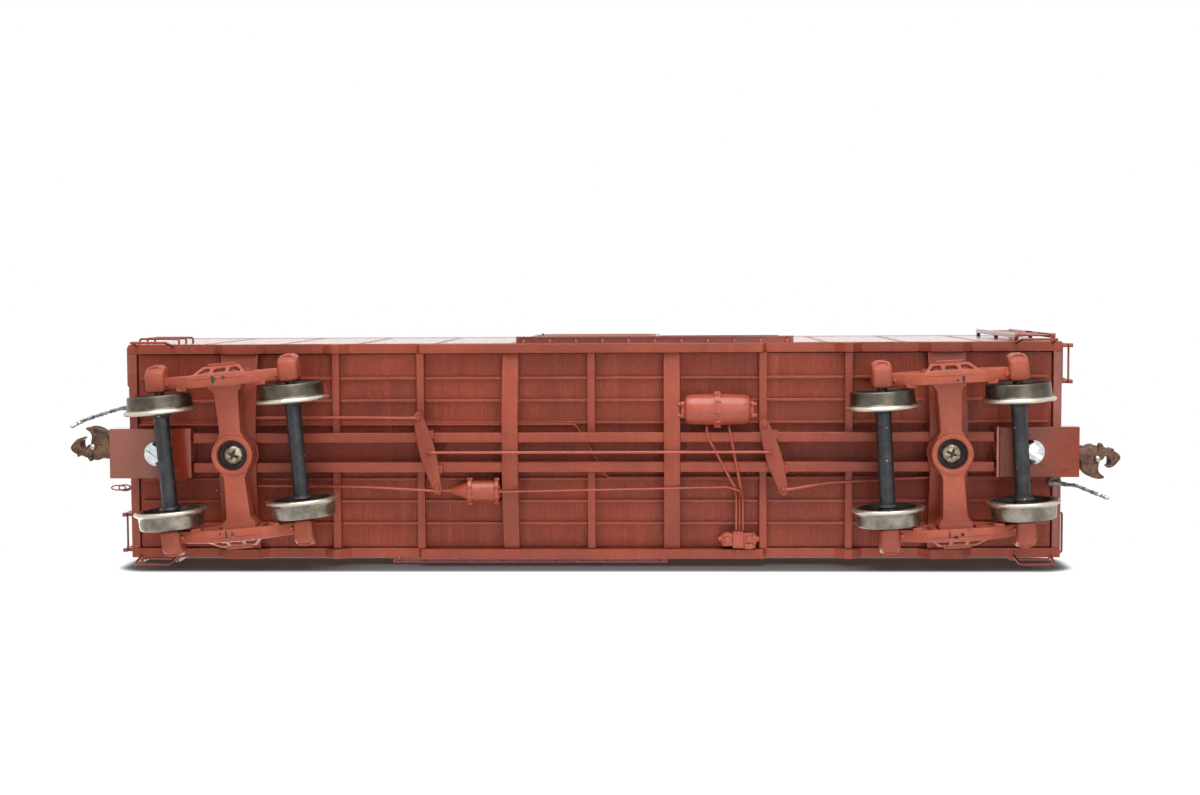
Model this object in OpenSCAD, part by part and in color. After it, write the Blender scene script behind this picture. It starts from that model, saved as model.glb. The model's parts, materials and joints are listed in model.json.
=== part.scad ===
// Scale model of a 40-foot steel boxcar: body, underframe, brake gear, two trucks and two couplers.
// Millimetres. +X is the hand brake end, +Z is up, and the wheel flanges stand on Z = 0.

/* [Body] */
// Length over the end walls
body_len = 141.7; // [120:0.1:180]
// Width over the side walls
body_w = 32.7; // [30:0.1:40]
// Height of the side sill's lowest edge above the wheel flanges
sill_z = 11; // [10.6:0.1:13]
// Depth of the side sill's tabs and centre section below its plain edge
tab_h = 1.6; // [0.6:0.1:2]
// Height of the plain side sill, up to the side sheets
sill_h = 1.7; // [1.2:0.1:3]
// Thickness of the side sill
sill_t = 1.45; // [1:0.05:2]
// Height of the side walls above the sill
side_h = 34.8; // [28:0.1:42]
// Thickness of the side and end walls
wall_t = 1.3; // [0.8:0.1:2]
// Rise of the roof from eaves to ridge
roof_rise = 1.5; // [0.8:0.1:3]
// Thickness of the roof at the eaves
roof_t = 1.2; // [0.8:0.1:2]
// Overhang of the roof past the side walls
roof_lip = 0.05; // [0:0.05:0.8]

/* [Doors] */
// Width of the clear doorway
doorway_w = 19.4; // [16:0.1:24]
// Height of the wall left above each doorway
door_head = 2.5; // [2:0.1:8]
// Overlap of the door past each edge of its doorway
door_lap = 0.9; // [0.4:0.1:1.5]
// Thickness of the door's panel
door_t = 0.45; // [0.4:0.05:1]
// Clearance between the door and the wall behind it
door_gap = 0.15; // [0.1:0.05:0.4]
// Distance that a door slides
door_travel = 19; // [8:0.5:20]

/* [Underframe] */
// Thickness of the floor
floor_t = 1; // [0.6:0.1:2]
// Distance from each end wall to its truck's pivot
truck_setback = 17.4; // [16.5:0.1:22]
// Half the distance between the two crossbearers
bearer_x = 12.2; // [11.5:0.1:16]
// Width of a crossbearer's bottom flange
bearer_w = 2.45; // [1.6:0.05:3]
// Width of a cross tie
tie_w = 1.15; // [0.8:0.05:1.5]
// Width of a body bolster
bolster_w = 5.6; // [4.5:0.1:6.5]
// Depth of the centre sill below the floor
center_sill_h = 3.4; // [2.5:0.1:3.8]
// Clear gap between the centre sill's two webs
center_gap = 3; // [2:0.1:3.5]
// Width of each centre sill flange
center_flange = 1.5; // [1:0.1:2]

/* [Trucks] */
// Diameter of the wheel treads
wheel_d = 9.62; // [8:0.01:10.2]
// Depth of the wheel flanges
flange_h = 0.64; // [0.4:0.01:0.7]
// Width of a wheel, flange included
wheel_w = 2.79; // [2.2:0.01:3]
// Distance between the two wheels' inner faces
back_to_back = 14.4; // [14:0.05:15]
// Distance between a truck's two axles
wheelbase = 19.85; // [17:0.05:22]
// Diameter of an axle between its wheels
axle_d = 2.3; // [1.6:0.1:2.6]
// Diameter of an axle's ends in their journals
journal_d = 1.5; // [1:0.1:1.8]
// Angle that the hand brake end's truck stands at, in degrees
truck_b_turn = -4.8; // [-6:0.1:6]
// Angle that the other truck stands at, in degrees
truck_a_turn = -3; // [-6:0.1:6]

/* [Couplers] */
// Height of the couplers' centre line above the wheel flanges
coupler_z = 10.56; // [10.2:0.01:11]
// Length of a coupler's draft box
box_len = 12.1; // [10:0.1:14]
// Width of a coupler's draft box
box_w = 7.5; // [6:0.1:7.8]
// Distance that the draft box stands out past the end wall
box_out = 1.8; // [1:0.1:3]
// Length of the draft box's lid
lid_len = 9.4; // [9:0.1:10]
// Distance from the box's front to the coupler's pivot
pivot_back = 6.9; // [6:0.1:7.4]

/* [Hidden] */
$fn = 40;

body_red = [0.50, 0.25, 0.20];
truck_red = [0.66, 0.31, 0.23];
nickel = [0.55, 0.53, 0.48];
black = [0.13, 0.13, 0.14];
rusty = [0.36, 0.27, 0.22];
hose_grey = [0.30, 0.30, 0.30];

half_l = body_len / 2;
half_w = body_w / 2;
plain_z = sill_z + tab_h;
wall_z = plain_z + sill_h;
eave_z = wall_z + side_h;
seam = 0.1;
fit = 0.15;

// Underframe heights and places
floor_top = wall_z - 0.2;
floor_z = floor_top - floor_t;
floor_half_l = half_l - wall_t - fit;
floor_half_w = half_w - sill_t - fit;
center_z = floor_z - center_sill_h;
plate_t = 0.4;
cover_z = center_z - plate_t;
web_t = 0.5;
web_y = center_gap / 2;
flange_y = web_y + center_flange;
bolster_x = half_l - truck_setback;
bay = bolster_x - bearer_x;
tie_x = [0, bearer_x + 0.333 * bay, bearer_x + 0.646 * bay];
tie_z = floor_z - 1.5;
tie_rows = [-tie_x[2], -tie_x[1], 0, tie_x[1], tie_x[2]];
stringer_y = [4.3, 7.7, 11.1];
stringer_w = 0.45;
stringer_h = 0.55;

// Doors
doorway_h = side_h - door_head - 0.2 - door_lap;
door_w = doorway_w + 2 * door_lap;
door_h = doorway_h + 2 * door_lap;
door_z = wall_z + 0.2;
door_y = half_w + door_gap;
track_t = 0.5;
door_rib = 0.15;
track_lip = 0.2;
track_out = door_gap + door_t + door_rib + seam + track_lip;
track_x0 = -door_w / 2 - 0.4;
track_x1 = door_w / 2 + door_travel + 0.6;

// Trucks
wheel_r = wheel_d / 2;
axle_z = wheel_r + flange_h;
pivot_z = cover_z - 0.5;
truck_top = pivot_z - 0.08;
frame_y = back_to_back / 2 + wheel_w + 0.6;
frame_t = 1.8;
box_y = frame_y;
box_depth = 3.6;
center_ring_r = 3.1;
screw_hole_r = 2.25;

// Couplers
box_front = half_l + box_out;
box_back = box_front - box_len;
pivot_x = box_front - pivot_back;
head_h = 2.9;
shank_h = 2;
lid_t = 0.5;
box_floor_z = coupler_z - 1.25;
box_roof_z = coupler_z + 1.2;
box_top_z = plain_z - 0.05;
knuckle_pin = [3.05, -0.35];
lug_r = 0.8;
lug_t = 0.5;

// ---- helpers ----

module both_sides() {
    children();
    mirror([0, 1, 0]) children();
}

module both_ends() {
    children();
    rotate([0, 0, 180]) children();
}

// A box given by its lowest and highest corners
module block(low, high) {
    translate(low) cube(high - low);
}

// An outline in X and Z, from y0 to y1
module upright(y0, y1) {
    translate([0, y1, 0]) rotate([90, 0, 0]) linear_extrude(y1 - y0) children();
}

// An outline in Y and Z, from x0 to x1
module crosswise(x0, x1) {
    translate([x0, 0, 0]) rotate([90, 0, 90]) linear_extrude(x1 - x0) children();
}

module x_rod(p, length, r) {
    translate(p) rotate([0, 90, 0]) cylinder(h = length, r = r);
}

module y_rod(p, length, r) {
    translate(p) rotate([-90, 0, 0]) cylinder(h = length, r = r);
}

function unit(v) = v / norm(v);
function tangent(p, i) =
    i == 0 ? unit(p[1] - p[0])
    : i == len(p) - 1 ? unit(p[i] - p[i - 1])
    : unit(unit(p[i + 1] - p[i]) + unit(p[i] - p[i - 1]));
function flat_to(v, t) = unit(v - (v * t) * t);
function normal(p, i) =
    i == 0 ? flat_to(abs(tangent(p, 0).z) < 0.8 ? [0, 0, 1] : [1, 0, 0], tangent(p, 0))
    : flat_to(normal(p, i - 1), tangent(p, i));

// The corner at b between a and c, rounded to radius r in a few points
function bend(a, b, c, r) =
    let (u = unit(a - b), v = unit(c - b), half = acos(u * v) / 2, turn = 180 - 2 * half,
         middle = b + unit(u + v) * r / sin(half),
         from = b + u * r / tan(half) - middle, to = b + v * r / tan(half) - middle, steps = 4)
    [for (k = [0:steps])
        middle + (from * sin((1 - k / steps) * turn) + to * sin(k / steps * turn)) / sin(turn)];

// A path with each of its inner corners rounded
function rounded(p, r) = [
    p[0],
    for (i = [1:len(p) - 2]) each bend(p[i - 1], p[i], p[i + 1], r),
    p[len(p) - 1]
];

// A round wire or pipe of radius r along a path
module wire(p, r, sides = 10) {
    rings = len(p);
    points = [
        for (i = [0:rings - 1])
            let (t = tangent(p, i), n = normal(p, i), b = cross(t, n))
            for (k = [0:sides - 1]) p[i] + r * (cos(360 * k / sides) * n + sin(360 * k / sides) * b)
    ];
    walls = [
        for (i = [0:rings - 2], k = [0:sides - 1])
            let (a = i * sides + k, b = i * sides + (k + 1) % sides)
            [a, a + sides, b + sides, b]
    ];
    first = [[for (k = [0:sides - 1]) k]];
    last = [[for (k = [sides - 1:-1:0]) (rings - 1) * sides + k]];
    polyhedron(points, concat(walls, first, last), convexity = 4);
}

// ---- body ----

module sill_tab(x, flat, slope) {
    polygon([
        [x - flat / 2 - slope, plain_z], [x - flat / 2, sill_z],
        [x + flat / 2, sill_z], [x + flat / 2 + slope, plain_z]
    ]);
}

module side_sill() {
    color(body_red) upright(half_w - sill_t, half_w) {
        translate([-half_l, plain_z]) square([body_len, sill_h]);
        sill_tab(0, 2 * tie_x[1], 0.5);
        for (s = [-1, 1]) {
            sill_tab(s * tie_x[2], tie_w, 1.5);
            sill_tab(s * bolster_x, bolster_w - 0.8, 1.6);
        }
    }
}

module side_wall() {
    color(body_red) difference() {
        block([-half_l, half_w - wall_t, wall_z], [half_l, half_w, eave_z]);
        block([-doorway_w / 2, half_w - wall_t - 1, door_z + door_lap],
              [doorway_w / 2, half_w + 1, door_z + door_lap + doorway_h]);
    }
}

rib_r = 3;
rib_out = 0.55;
rib_rows = 8;
rib_margin = 3.05;
rib_pitch = (side_h - 2 * rib_margin) / (rib_rows - 1);
rib_face = half_l + rib_out + 0.02;

// One pressed rib across an end wall, with tapered ends
module end_rib(length, r, out, z) {
    taper = 4 * out;
    intersection() {
        translate([half_l - r + out, 0, z]) rotate([90, 0, 0])
            translate([0, 0, -length / 2]) rotate_extrude()
                polygon([[0, 0], [r - out, 0], [r, taper], [r, length - taper],
                         [r - out, length], [0, length]]);
        block([half_l - 0.3, -half_w, z - r], [half_l + out + 1, half_w, z + r]);
    }
}

module end_wall() {
    inner_w = half_w - wall_t;
    color(body_red) {
        block([half_l - wall_t, -inner_w, wall_z], [half_l, inner_w, eave_z]);
        block([half_l - wall_t, -(half_w - sill_t), plain_z],
              [half_l, half_w - sill_t, wall_z]);
        for (i = [0:rib_rows - 1])
            end_rib(2 * inner_w - 2, rib_r, rib_out, wall_z + rib_margin + i * rib_pitch);
    }
}

module roof_panel_ribs() {
    pitch = body_len / 12;
    for (i = [-6:6]) {
        x = i == -6 ? -half_l + 0.4 : i == 6 ? half_l - 0.4 : i * pitch;
        crosswise(x - 0.4, x + 0.4) roof_outline(cap_h);
    }
}

// The roof's cross-section, raised by a little for its seam caps
module roof_outline(raised) {
    edge = half_w + roof_lip;
    polygon([
        [-edge, eave_z], [edge, eave_z], [edge, eave_z + roof_t + raised],
        [0, eave_z + roof_t + roof_rise + raised], [-edge, eave_z + roof_t + raised]
    ]);
}

module roof() {
    inner_w = half_w - wall_t;
    color(body_red) {
        difference() {
            crosswise(-half_l, half_l) roof_outline(0);
            crosswise(-half_l + 2 * wall_t, half_l - 2 * wall_t)
                polygon([[-inner_w, eave_z - 1], [inner_w, eave_z - 1], [inner_w, eave_z],
                         [0, eave_z + roof_rise], [-inner_w, eave_z]]);
        }
        roof_panel_ribs();
    }
}

board_w = 5.6;
board_t = 0.45;
board_gap = 0.7;
board_over = 2.4;
cap_h = 0.3;
board_z = eave_z + roof_t + roof_rise + cap_h + board_gap;

// Height of the roof's slope at a distance from the middle
function roof_at(y) = eave_z + roof_t + roof_rise * (1 - y / (half_w + roof_lip));

module running_board() {
    half_board = half_l + board_over;
    half_b = board_w / 2;
    saddles = 12;
    step_y = half_w - 1;
    color(body_red) {
        block([-half_board, -half_b, board_z], [half_board, half_b, board_z + board_t]);
        for (i = [0:saddles]) {
            x = -half_l + 0.4 + i * (body_len - 0.8) / saddles;
            crosswise(x - 0.3, x + 0.3) polygon([
                [-half_b, board_z], [half_b, board_z], [half_b, roof_at(half_b) + cap_h],
                [0, roof_at(0) + cap_h], [-half_b, roof_at(half_b) + cap_h]
            ]);
        }
        both_ends() {
            block([half_l - 6.2, -step_y - 0.4, board_z], [half_l - 1.6, -half_b, board_z + board_t]);
            crosswise(half_l - 4.2, half_l - 3.6) polygon([
                [-step_y, board_z], [-half_b, board_z], [-half_b, board_z - 0.4],
                [-step_y + 0.4, roof_at(step_y - 0.4)], [-step_y, roof_at(step_y)]
            ]);
        }
    }
}

// ---- floor and underframe ----

module floor_plate() {
    color(body_red) block([-floor_half_l, -floor_half_w, floor_z],
                          [floor_half_l, floor_half_w, floor_top]);
}

module weight_plate() {
    color(nickel) block([-half_l + 14, -half_w + 3.6, floor_top],
                        [half_l - 14, half_w - 3.6, floor_top + 1.6]);
}

line_r = 0.2;
line_y = box_w / 2 + line_r + seam;
line_z = tie_z + 0.5;

// The space that the train line passes through, on one side of the centre sill at each end
module line_clearance() {
    both_ends() x_rod([line_cross_x, line_y, line_z], half_l, line_r + seam);
}

module stringers() {
    color(body_red) difference() {
        both_sides() for (y = stringer_y)
            block([-floor_half_l + 0.5, y - stringer_w / 2, floor_z - stringer_h],
                  [floor_half_l - 0.5, y + stringer_w / 2, floor_z]);
        for (x = tie_rows)
            block([x - tie_w / 2, -half_w, tie_z], [x + tie_w / 2, half_w, floor_z]);
        for (s = [-1, 1]) {
            block([s * bearer_x - web_t / 2, -half_w, tie_z],
                  [s * bearer_x + web_t / 2, half_w, floor_z]);
            block([s * bolster_x - bolster_w / 2, -half_w, tie_z],
                  [s * bolster_x + bolster_w / 2, half_w, floor_z]);
            block([min(s * box_back, s * half_l) - 0.3, -box_w / 2 - 0.3, tie_z],
                  [max(s * box_back, s * half_l) + 0.3, box_w / 2 + 0.3, floor_z]);
        }
    }
}

module center_sill() {
    end_x = box_back - 0.3;
    slot_x = line_cross_x * (web_y + web_t / 2) / line_y;
    color(body_red) difference() {
        both_sides() {
            block([-end_x, web_y, center_z], [end_x, web_y + web_t, floor_z]);
            block([-end_x, web_y, center_z], [end_x, flange_y, center_z + plate_t]);
        }
        both_ends()
            block([slot_x - 1.2, web_y - 0.1, line_z - 0.5], [slot_x + 1.2, flange_y, line_z + 0.5]);
    }
}

// A member that runs from the centre sill to the side sill: flat in the middle, and rising to its ends
module bearer_outline(flat, low_z, high_z, thick) {
    reach = half_w - sill_t;
    polygon([
        [-reach, high_z], [-flat, low_z], [flat, low_z], [reach, high_z],
        [reach, high_z + thick], [flat, low_z + thick], [-flat, low_z + thick], [-reach, high_z + thick]
    ]);
}

// The webs above such a member, one on each side of the centre sill
module bearer_webs(x0, x1, flat, low_z, high_z) {
    reach = half_w - sill_t;
    inner = web_y + web_t;
    both_sides() crosswise(x0, x1) polygon([
        [inner, center_z + plate_t], [flange_y, center_z + plate_t], [flange_y, low_z],
        [flat, low_z], [reach, high_z], [reach, floor_z], [inner, floor_z]
    ]);
}

module crossbearers() {
    flat = 4.9;
    high_z = sill_z + 0.9;
    color(body_red) difference() {
        for (s = [-1, 1]) {
            crosswise(s * bearer_x - bearer_w / 2, s * bearer_x + bearer_w / 2)
                bearer_outline(flat, cover_z, high_z, plate_t);
            bearer_webs(s * bearer_x - web_t / 2, s * bearer_x + web_t / 2,
                        flat, center_z, high_z + plate_t);
        }
        line_clearance();
    }
}

module cross_ties() {
    color(body_red) difference() {
        both_sides() for (x = tie_rows)
            block([x - tie_w / 2, web_y + web_t, tie_z], [x + tie_w / 2, half_w - sill_t, floor_z]);
        line_clearance();
    }
}

module body_bolsters() {
    flat = 4.6;
    high_z = sill_z + 0.6;
    color(body_red) for (s = [-1, 1]) difference() {
        union() {
            crosswise(s * bolster_x - bolster_w / 2, s * bolster_x + bolster_w / 2)
                bearer_outline(flat, cover_z, high_z, plate_t);
            for (web = [-1.6, 1.6])
                bearer_webs(s * bolster_x + web - 0.3, s * bolster_x + web + 0.3,
                            flat, center_z, high_z + plate_t);
            translate([s * bolster_x, 0, pivot_z]) cylinder(h = cover_z - pivot_z + 0.2, r = 3.3);
        }
        translate([s * bolster_x, 0, 0]) cylinder(h = floor_z, r = 0.9);
        line_clearance();
    }
}

// ---- doors ----

module door() {
    x0 = -door_w / 2;
    y0 = door_y;
    y1 = door_y + door_t;
    panels = 3;
    panel_h = door_h / panels;
    color(body_red) {
        block([x0, y0, door_z], [x0 + door_w, y1, door_z + door_h]);
        for (i = [0:panels]) {
            z = door_z + i * (door_h - 0.5) / panels;
            block([x0, y1, z], [x0 + door_w, y1 + door_rib, z + 0.5]);
        }
        for (x = [x0, x0 + door_w - 0.7])
            block([x, y1, door_z], [x + 0.7, y1 + door_rib, door_z + door_h]);
        for (i = [0:panels - 1], k = [1:4])
            x_rib([x0 + 1.6, y1, door_z + 0.25 + i * (door_h - 0.5) / panels + k * panel_h / 5],
                  door_w - 3.2, 0.5, door_rib);
    }
}

// A half-round rib along X that stands out of a face along +Y
module x_rib(p, length, r, out) {
    intersection() {
        x_rod(p + [0, out - r, 0], length, r);
        block(p - [1, 0, r], p + [length + 1, r, r]);
    }
}

module door_tracks() {
    low_z = door_z - seam;
    high_z = door_z + door_h + seam;
    color(body_red) {
        block([track_x0, half_w, low_z - track_t], [track_x1, half_w + track_out, low_z]);
        block([track_x0, half_w, high_z], [track_x1, half_w + track_out, high_z + track_t]);
        block([track_x0, half_w + track_out - track_lip, high_z - 0.5],
              [track_x1, half_w + track_out, high_z]);
        for (x = [track_x0 - 0.5, track_x1])
            block([x, half_w, low_z - track_t], [x + 0.5, half_w + track_out, low_z + 0.6]);
    }
}

// ---- ladders, grab irons and steps ----

ladder_w = 6.1;
stile_w = 0.6;
rung_r = 0.16;
rungs = 8;
ladder_low = wall_z + 1.2;
ladder_high = eave_z - 0.6;

// A ladder on a wall whose outward direction is +Y: x is its middle, and its rungs stand out by off.
// The brackets of its +X stile reach back by outer_back to the wall past the ends of the ribs
module ladder(x, y, off, outer_back) {
    color(body_red) {
        for (s = [-1, 1]) {
            x0 = x + s * (ladder_w - stile_w) / 2 - stile_w / 2;
            back = s > 0 ? outer_back : 0;
            block([x0, y + off - 0.35, ladder_low], [x0 + stile_w, y + off + 0.35, ladder_high]);
            for (z = [ladder_low + 0.6, (ladder_low + ladder_high) / 2, ladder_high - 1])
                block([x0, y - back, z], [x0 + stile_w, y + off, z + 0.5]);
        }
        for (i = [0:rungs - 1])
            x_rod([x - ladder_w / 2 + stile_w / 2, y + off,
                   ladder_low + 1.6 + i * (ladder_high - ladder_low - 3) / (rungs - 1)],
                  ladder_w - stile_w, rung_r);
    }
}

side_ladder_x = half_l - 3.4;
end_ladder_y = half_w - 3.45;

module ladders() {
    both_ends() {
        mirror([1, 0, 0]) ladder(side_ladder_x, half_w, 0.8, 0);
        rotate([0, 0, -90]) ladder(end_ladder_y, rib_face, 1.4, rib_face - half_l);
    }
}

// A wire grab iron of length w on a wall whose outward direction is +Y
module grab_iron(x, y, z, w) {
    out = y + 0.8;
    x0 = x - w / 2;
    x1 = x + w / 2;
    wire(rounded([[x0, y, z], [x0, out, z], [x1, out, z], [x1, y, z]], 0.3), 0.17);
}

module grab_irons() {
    step = (eave_z - wall_z) / 9;
    color(body_red) both_ends() {
        for (i = [0:2]) grab_iron(side_ladder_x - 0.5, half_w, wall_z + 1.8 + i * 1.06 * step, ladder_w);
        rotate([0, 0, -90]) for (i = [0:1])
            grab_iron(-end_ladder_y, half_l, wall_z + 0.9 + i * rib_pitch, ladder_w);
    }
}

// A stirrup step that hangs from the side sill
module sill_step(x) {
    drop = 4.4;
    w = 5.6;
    y = half_w + 0.05;
    t = 0.45;
    d = 0.9;
    color(body_red) upright(y - d / 2, y + d / 2) difference() {
        polygon([
            [x - w / 2 - t, plain_z], [x - w / 2 + 0.2, plain_z - drop],
            [x + w / 2 - 0.2, plain_z - drop], [x + w / 2 + t, plain_z]
        ]);
        polygon([
            [x - w / 2, plain_z + 1], [x - w / 2 + 0.2 + t, plain_z - drop + t],
            [x + w / 2 - 0.2 - t, plain_z - drop + t], [x + w / 2, plain_z + 1]
        ]);
    }
}

module sill_steps() {
    both_ends() for (s = [-1, 1]) sill_step(s * (half_l - 4.2));
}

// ---- hand brake ----

brake_y = -6;
brake_z = eave_z - 10.8;

module brake_wheel() {
    r = 3.2;
    color(body_red) translate([rib_face + 1.9, brake_y, brake_z]) rotate([0, 90, 0]) {
        rotate_extrude() translate([r - 0.3, 0]) circle(r = 0.3, $fn = 24);
        cylinder(h = 0.6, r = 0.7, center = true);
        for (a = [0:60:300]) rotate([0, 0, a]) translate([0.4, -0.18, -0.15]) cube([r - 0.8, 0.36, 0.3]);
    }
}

module brake_housing() {
    rod_low = plain_z + 0.6;
    color(body_red) {
        block([rib_face, brake_y - 1.6, brake_z - 2], [rib_face + 1.1, brake_y + 1.6, brake_z + 1.6]);
        x_rod([rib_face + 1.1, brake_y, brake_z], 0.5, 0.5);
        translate([rib_face + 0.4, brake_y, rod_low]) cylinder(h = brake_z - 2 - rod_low, r = 0.22);
    }
}

module brake_step() {
    z = brake_z - 8.5;
    depth = 2.4;
    color(body_red) {
        block([rib_face, brake_y - 2.4, z], [rib_face + depth, brake_y - 0.5, z + 0.35]);
        block([rib_face, brake_y + 0.5, z], [rib_face + depth, brake_y + 2.9, z + 0.35]);
        block([rib_face + 0.9, brake_y - 0.5, z], [rib_face + depth, brake_y + 0.5, z + 0.35]);
        for (y = [brake_y - 2.2, brake_y + 2.3])
            upright(y, y + 0.4) polygon([[rib_face, z], [rib_face + depth - 0.3, z], [rib_face, z - 2.2]]);
    }
}

// The flat eye that turns the hand brake's pull under the floor
module bell_crank() {
    translate([half_l, brake_y + 0.4, plain_z + 0.1]) linear_extrude(0.5) difference() {
        union() {
            translate([0, -0.55]) square([2, 1.1]);
            translate([2, 0]) circle(r = 0.55);
        }
        translate([0.8, 0]) circle(r = 0.3);
        translate([2, 0]) circle(r = 0.3);
    }
}

// ---- air brake ----

res_r = 2.3;
res_len = 9.8;
res_at = [-(bearer_x + 6.8), 6.4, floor_z - 2.9];
cyl_r = 1.55;
cyl_len = 4.5;
cyl_at = [bearer_x + 4.1, -5.9, floor_z - 2.2];
valve_at = [-(bearer_x + 10.1), -13.4, floor_z - 1.5];
gear_z = cover_z - 0.28;
rod_r = 0.2;
pipe_r = 0.19;
pipe_z = center_z - 0.26;

module reservoir() {
    r = res_r;
    l = res_len / 2;
    color(truck_red) translate(res_at) {
        rotate([0, 90, 0]) rotate_extrude() polygon([
            [0, -l], [r - 1, -l], [r - 0.45, -l + 0.2], [r - 0.2, -l + 0.7], [r, -0.3], [r + 0.22, -0.3],
            [r + 0.22, 0.3], [r, 0.3], [r - 0.2, l - 0.7], [r - 0.45, l - 0.2], [r - 1, l], [0, l]
        ]);
        for (s = [-1, 1]) {
            x0 = s * (l - 2.2) - 0.3;
            block([x0, -0.8, 0], [x0 + 0.6, 0.8, floor_z - res_at.z]);
            block([min(s * l, s * (l + 0.45)), -1.4, -1.1], [max(s * l, s * (l + 0.45)), 1.4, 0]);
        }
    }
}

module brake_cylinder() {
    r = cyl_r;
    l = cyl_len / 2;
    color(truck_red) translate(cyl_at) {
        rotate([0, 90, 0]) rotate_extrude() polygon([
            [0, -l - 0.45], [r - 0.75, -l - 0.45], [r - 0.3, -l - 0.1], [r + 0.3, -l - 0.1],
            [r + 0.3, -l + 0.45], [r, -l + 0.45], [r, l - 0.7], [r + 0.3, l - 0.7], [r + 0.3, l - 0.25],
            [r - 0.15, l - 0.25], [0.55, l + 2.1], [0, l + 2.1]
        ]);
        for (s = [-1, 1]) {
            x0 = s * (l - 1.2) - 0.25;
            block([x0, -0.8, 0], [x0 + 0.5, 0.8, floor_z - cyl_at.z]);
        }
        x_rod([l + 2, 0, 0], 0.6, 0.28);
    }
}

module brake_valve() {
    color(truck_red) translate(valve_at) {
        block([-1, -1.3, -1.2], [1, 1.3, floor_z - valve_at.z]);
        block([-2.3, -1, -0.9], [2.2, 1, 0.8]);
        block([0.9, -1, -1], [2.6, 1, 1]);
        x_rod([-3, 0, 0], 0.8, 0.45);
        x_rod([-2.7, 0, 0], 5.8, 0.6);
    }
}

// Ends of the two levers, and where the rod between them joins them
lever_1 = [[bearer_x + 14, 5.3], [bearer_x + 11, -6.1]];
lever_2 = [[-(bearer_x + 13.8), 4.5], [-(bearer_x + 16.8), -5.9]];
link_y = 0.1;

function along(l, y) = l[0] + (l[1] - l[0]) * (y - l[0].y) / (l[1].y - l[0].y);

module lever(l) {
    middle = (l[0] + l[1]) / 2;
    across = unit([l[1].y - l[0].y, l[0].x - l[1].x]) * 1.3;
    hull() {
        for (p = l) translate(p) circle(r = 0.5, $fn = 24);
        for (s = [-1, 1]) translate(middle + s * across) circle(r = 0.1, $fn = 24);
    }
}

module brake_levers() {
    color(body_red) for (l = [lever_1, lever_2]) {
        translate([0, 0, gear_z - 0.25]) linear_extrude(0.5) lever(l);
        translate([along(l, 2.2).x, 2.2, gear_z]) cylinder(h = center_z - gear_z, r = 0.4);
        translate([along(l, -2.2).x, -2.2, gear_z]) cylinder(h = center_z - gear_z, r = 0.4);
    }
    color(body_red) bell_crank();
}

// The rods lie under the levers, and rise above the wheels to the body bolsters
module brake_rods() {
    rod_z = gear_z - 0.25 - rod_r;
    end_x = bolster_x - bolster_w / 2;
    rise_x = tie_x[2] - 3;
    rise_z = tie_z - rod_r - seam;
    color(body_red) {
        wire([[along(lever_1, link_y).x + 0.5, link_y, rod_z],
              [along(lever_2, link_y).x - 0.5, link_y, rod_z]], rod_r);
        wire([[lever_1[0].x - 0.4, 5, rod_z], [lever_1[0].x + 1.5, 5, rod_z],
              [rise_x, 4.9, rise_z], [end_x, 4.9, rise_z]], rod_r);
        wire([[lever_1[1].x - 0.4, -5.5, rod_z], [lever_1[1].x + 1.5, -5.4, rod_z],
              [rise_x, -5.2, rise_z], [end_x, -5.1, rise_z]], rod_r);
        wire([[lever_2[1].x + 0.4, -5.5, rod_z], [lever_2[1].x - 1.5, -5.4, rod_z],
              [-rise_x, -4.8, rise_z], [-end_x, -4, rise_z]], rod_r);
    }
}

// Two pipes from the reservoir and one from the cylinder pass under the centre sill to the valve
module brake_pipes() {
    valve_y = valve_at.y + 1.32;
    valve_x = valve_at.x;
    res_y = res_at.y - res_r - 0.02;
    color(body_red) {
        wire(rounded([
            [res_at.x + 1.6, res_y, res_at.z], [res_at.x + 1.6, flange_y + 0.4, pipe_z],
            [res_at.x + 1.4, 2.2, pipe_z], [valve_x + 0.7, -5.3, pipe_z],
            [valve_x + 0.4, -7, valve_at.z], [valve_x + 0.4, valve_y, valve_at.z]
        ], 0.5), pipe_r);
        wire(rounded([
            [res_at.x - 1.7, res_y, res_at.z], [res_at.x - 1.8, flange_y + 0.4, pipe_z],
            [valve_x - 0.2, -5.4, pipe_z], [valve_x - 0.6, -7.2, valve_at.z],
            [valve_x - 0.6, valve_y, valve_at.z]
        ], 0.5), pipe_r);
        wire(rounded([
            [cyl_at.x - cyl_len / 2 - 0.12, cyl_at.y, gear_z],
            [valve_x + 1.8, -5.2, gear_z], [valve_x - 0.08, -5.8, gear_z],
            [valve_x - 0.1, -7.3, valve_at.z + 0.1], [valve_x - 0.1, valve_y, valve_at.z + 0.1]
        ], 0.5), 0.14);
    }
}

line_cross_x = 2.5;

// The train line runs along one side of the centre sill, and crosses through it at the middle
module train_line() {
    end_x = floor_half_l - 0.2;
    color(body_red) wire(rounded([
        [end_x, line_y, line_z], [line_cross_x, line_y, line_z],
        [-line_cross_x, -line_y, line_z], [-end_x, -line_y, line_z]
    ], 0.8), line_r);
}

// ---- couplers ----

module draft_box() {
    inner = box_w / 2 - 0.7;
    color(body_red) difference() {
        union() {
            block([box_back, -box_w / 2, box_floor_z], [box_front, box_w / 2, box_top_z]);
            block([box_back, -box_w / 2, box_top_z], [half_l - wall_t - 0.3, box_w / 2, floor_z]);
        }
        block([box_front - lid_len + 0.4, -inner, box_floor_z - 1], [box_front + 1, inner, box_roof_z]);
    }
    color(body_red) difference() {
        translate([pivot_x, 0, box_floor_z]) cylinder(h = box_roof_z - box_floor_z, r = 1.25);
        translate([pivot_x, 0, box_floor_z - 1]) cylinder(h = 5, r = 0.6);
    }
}

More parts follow.
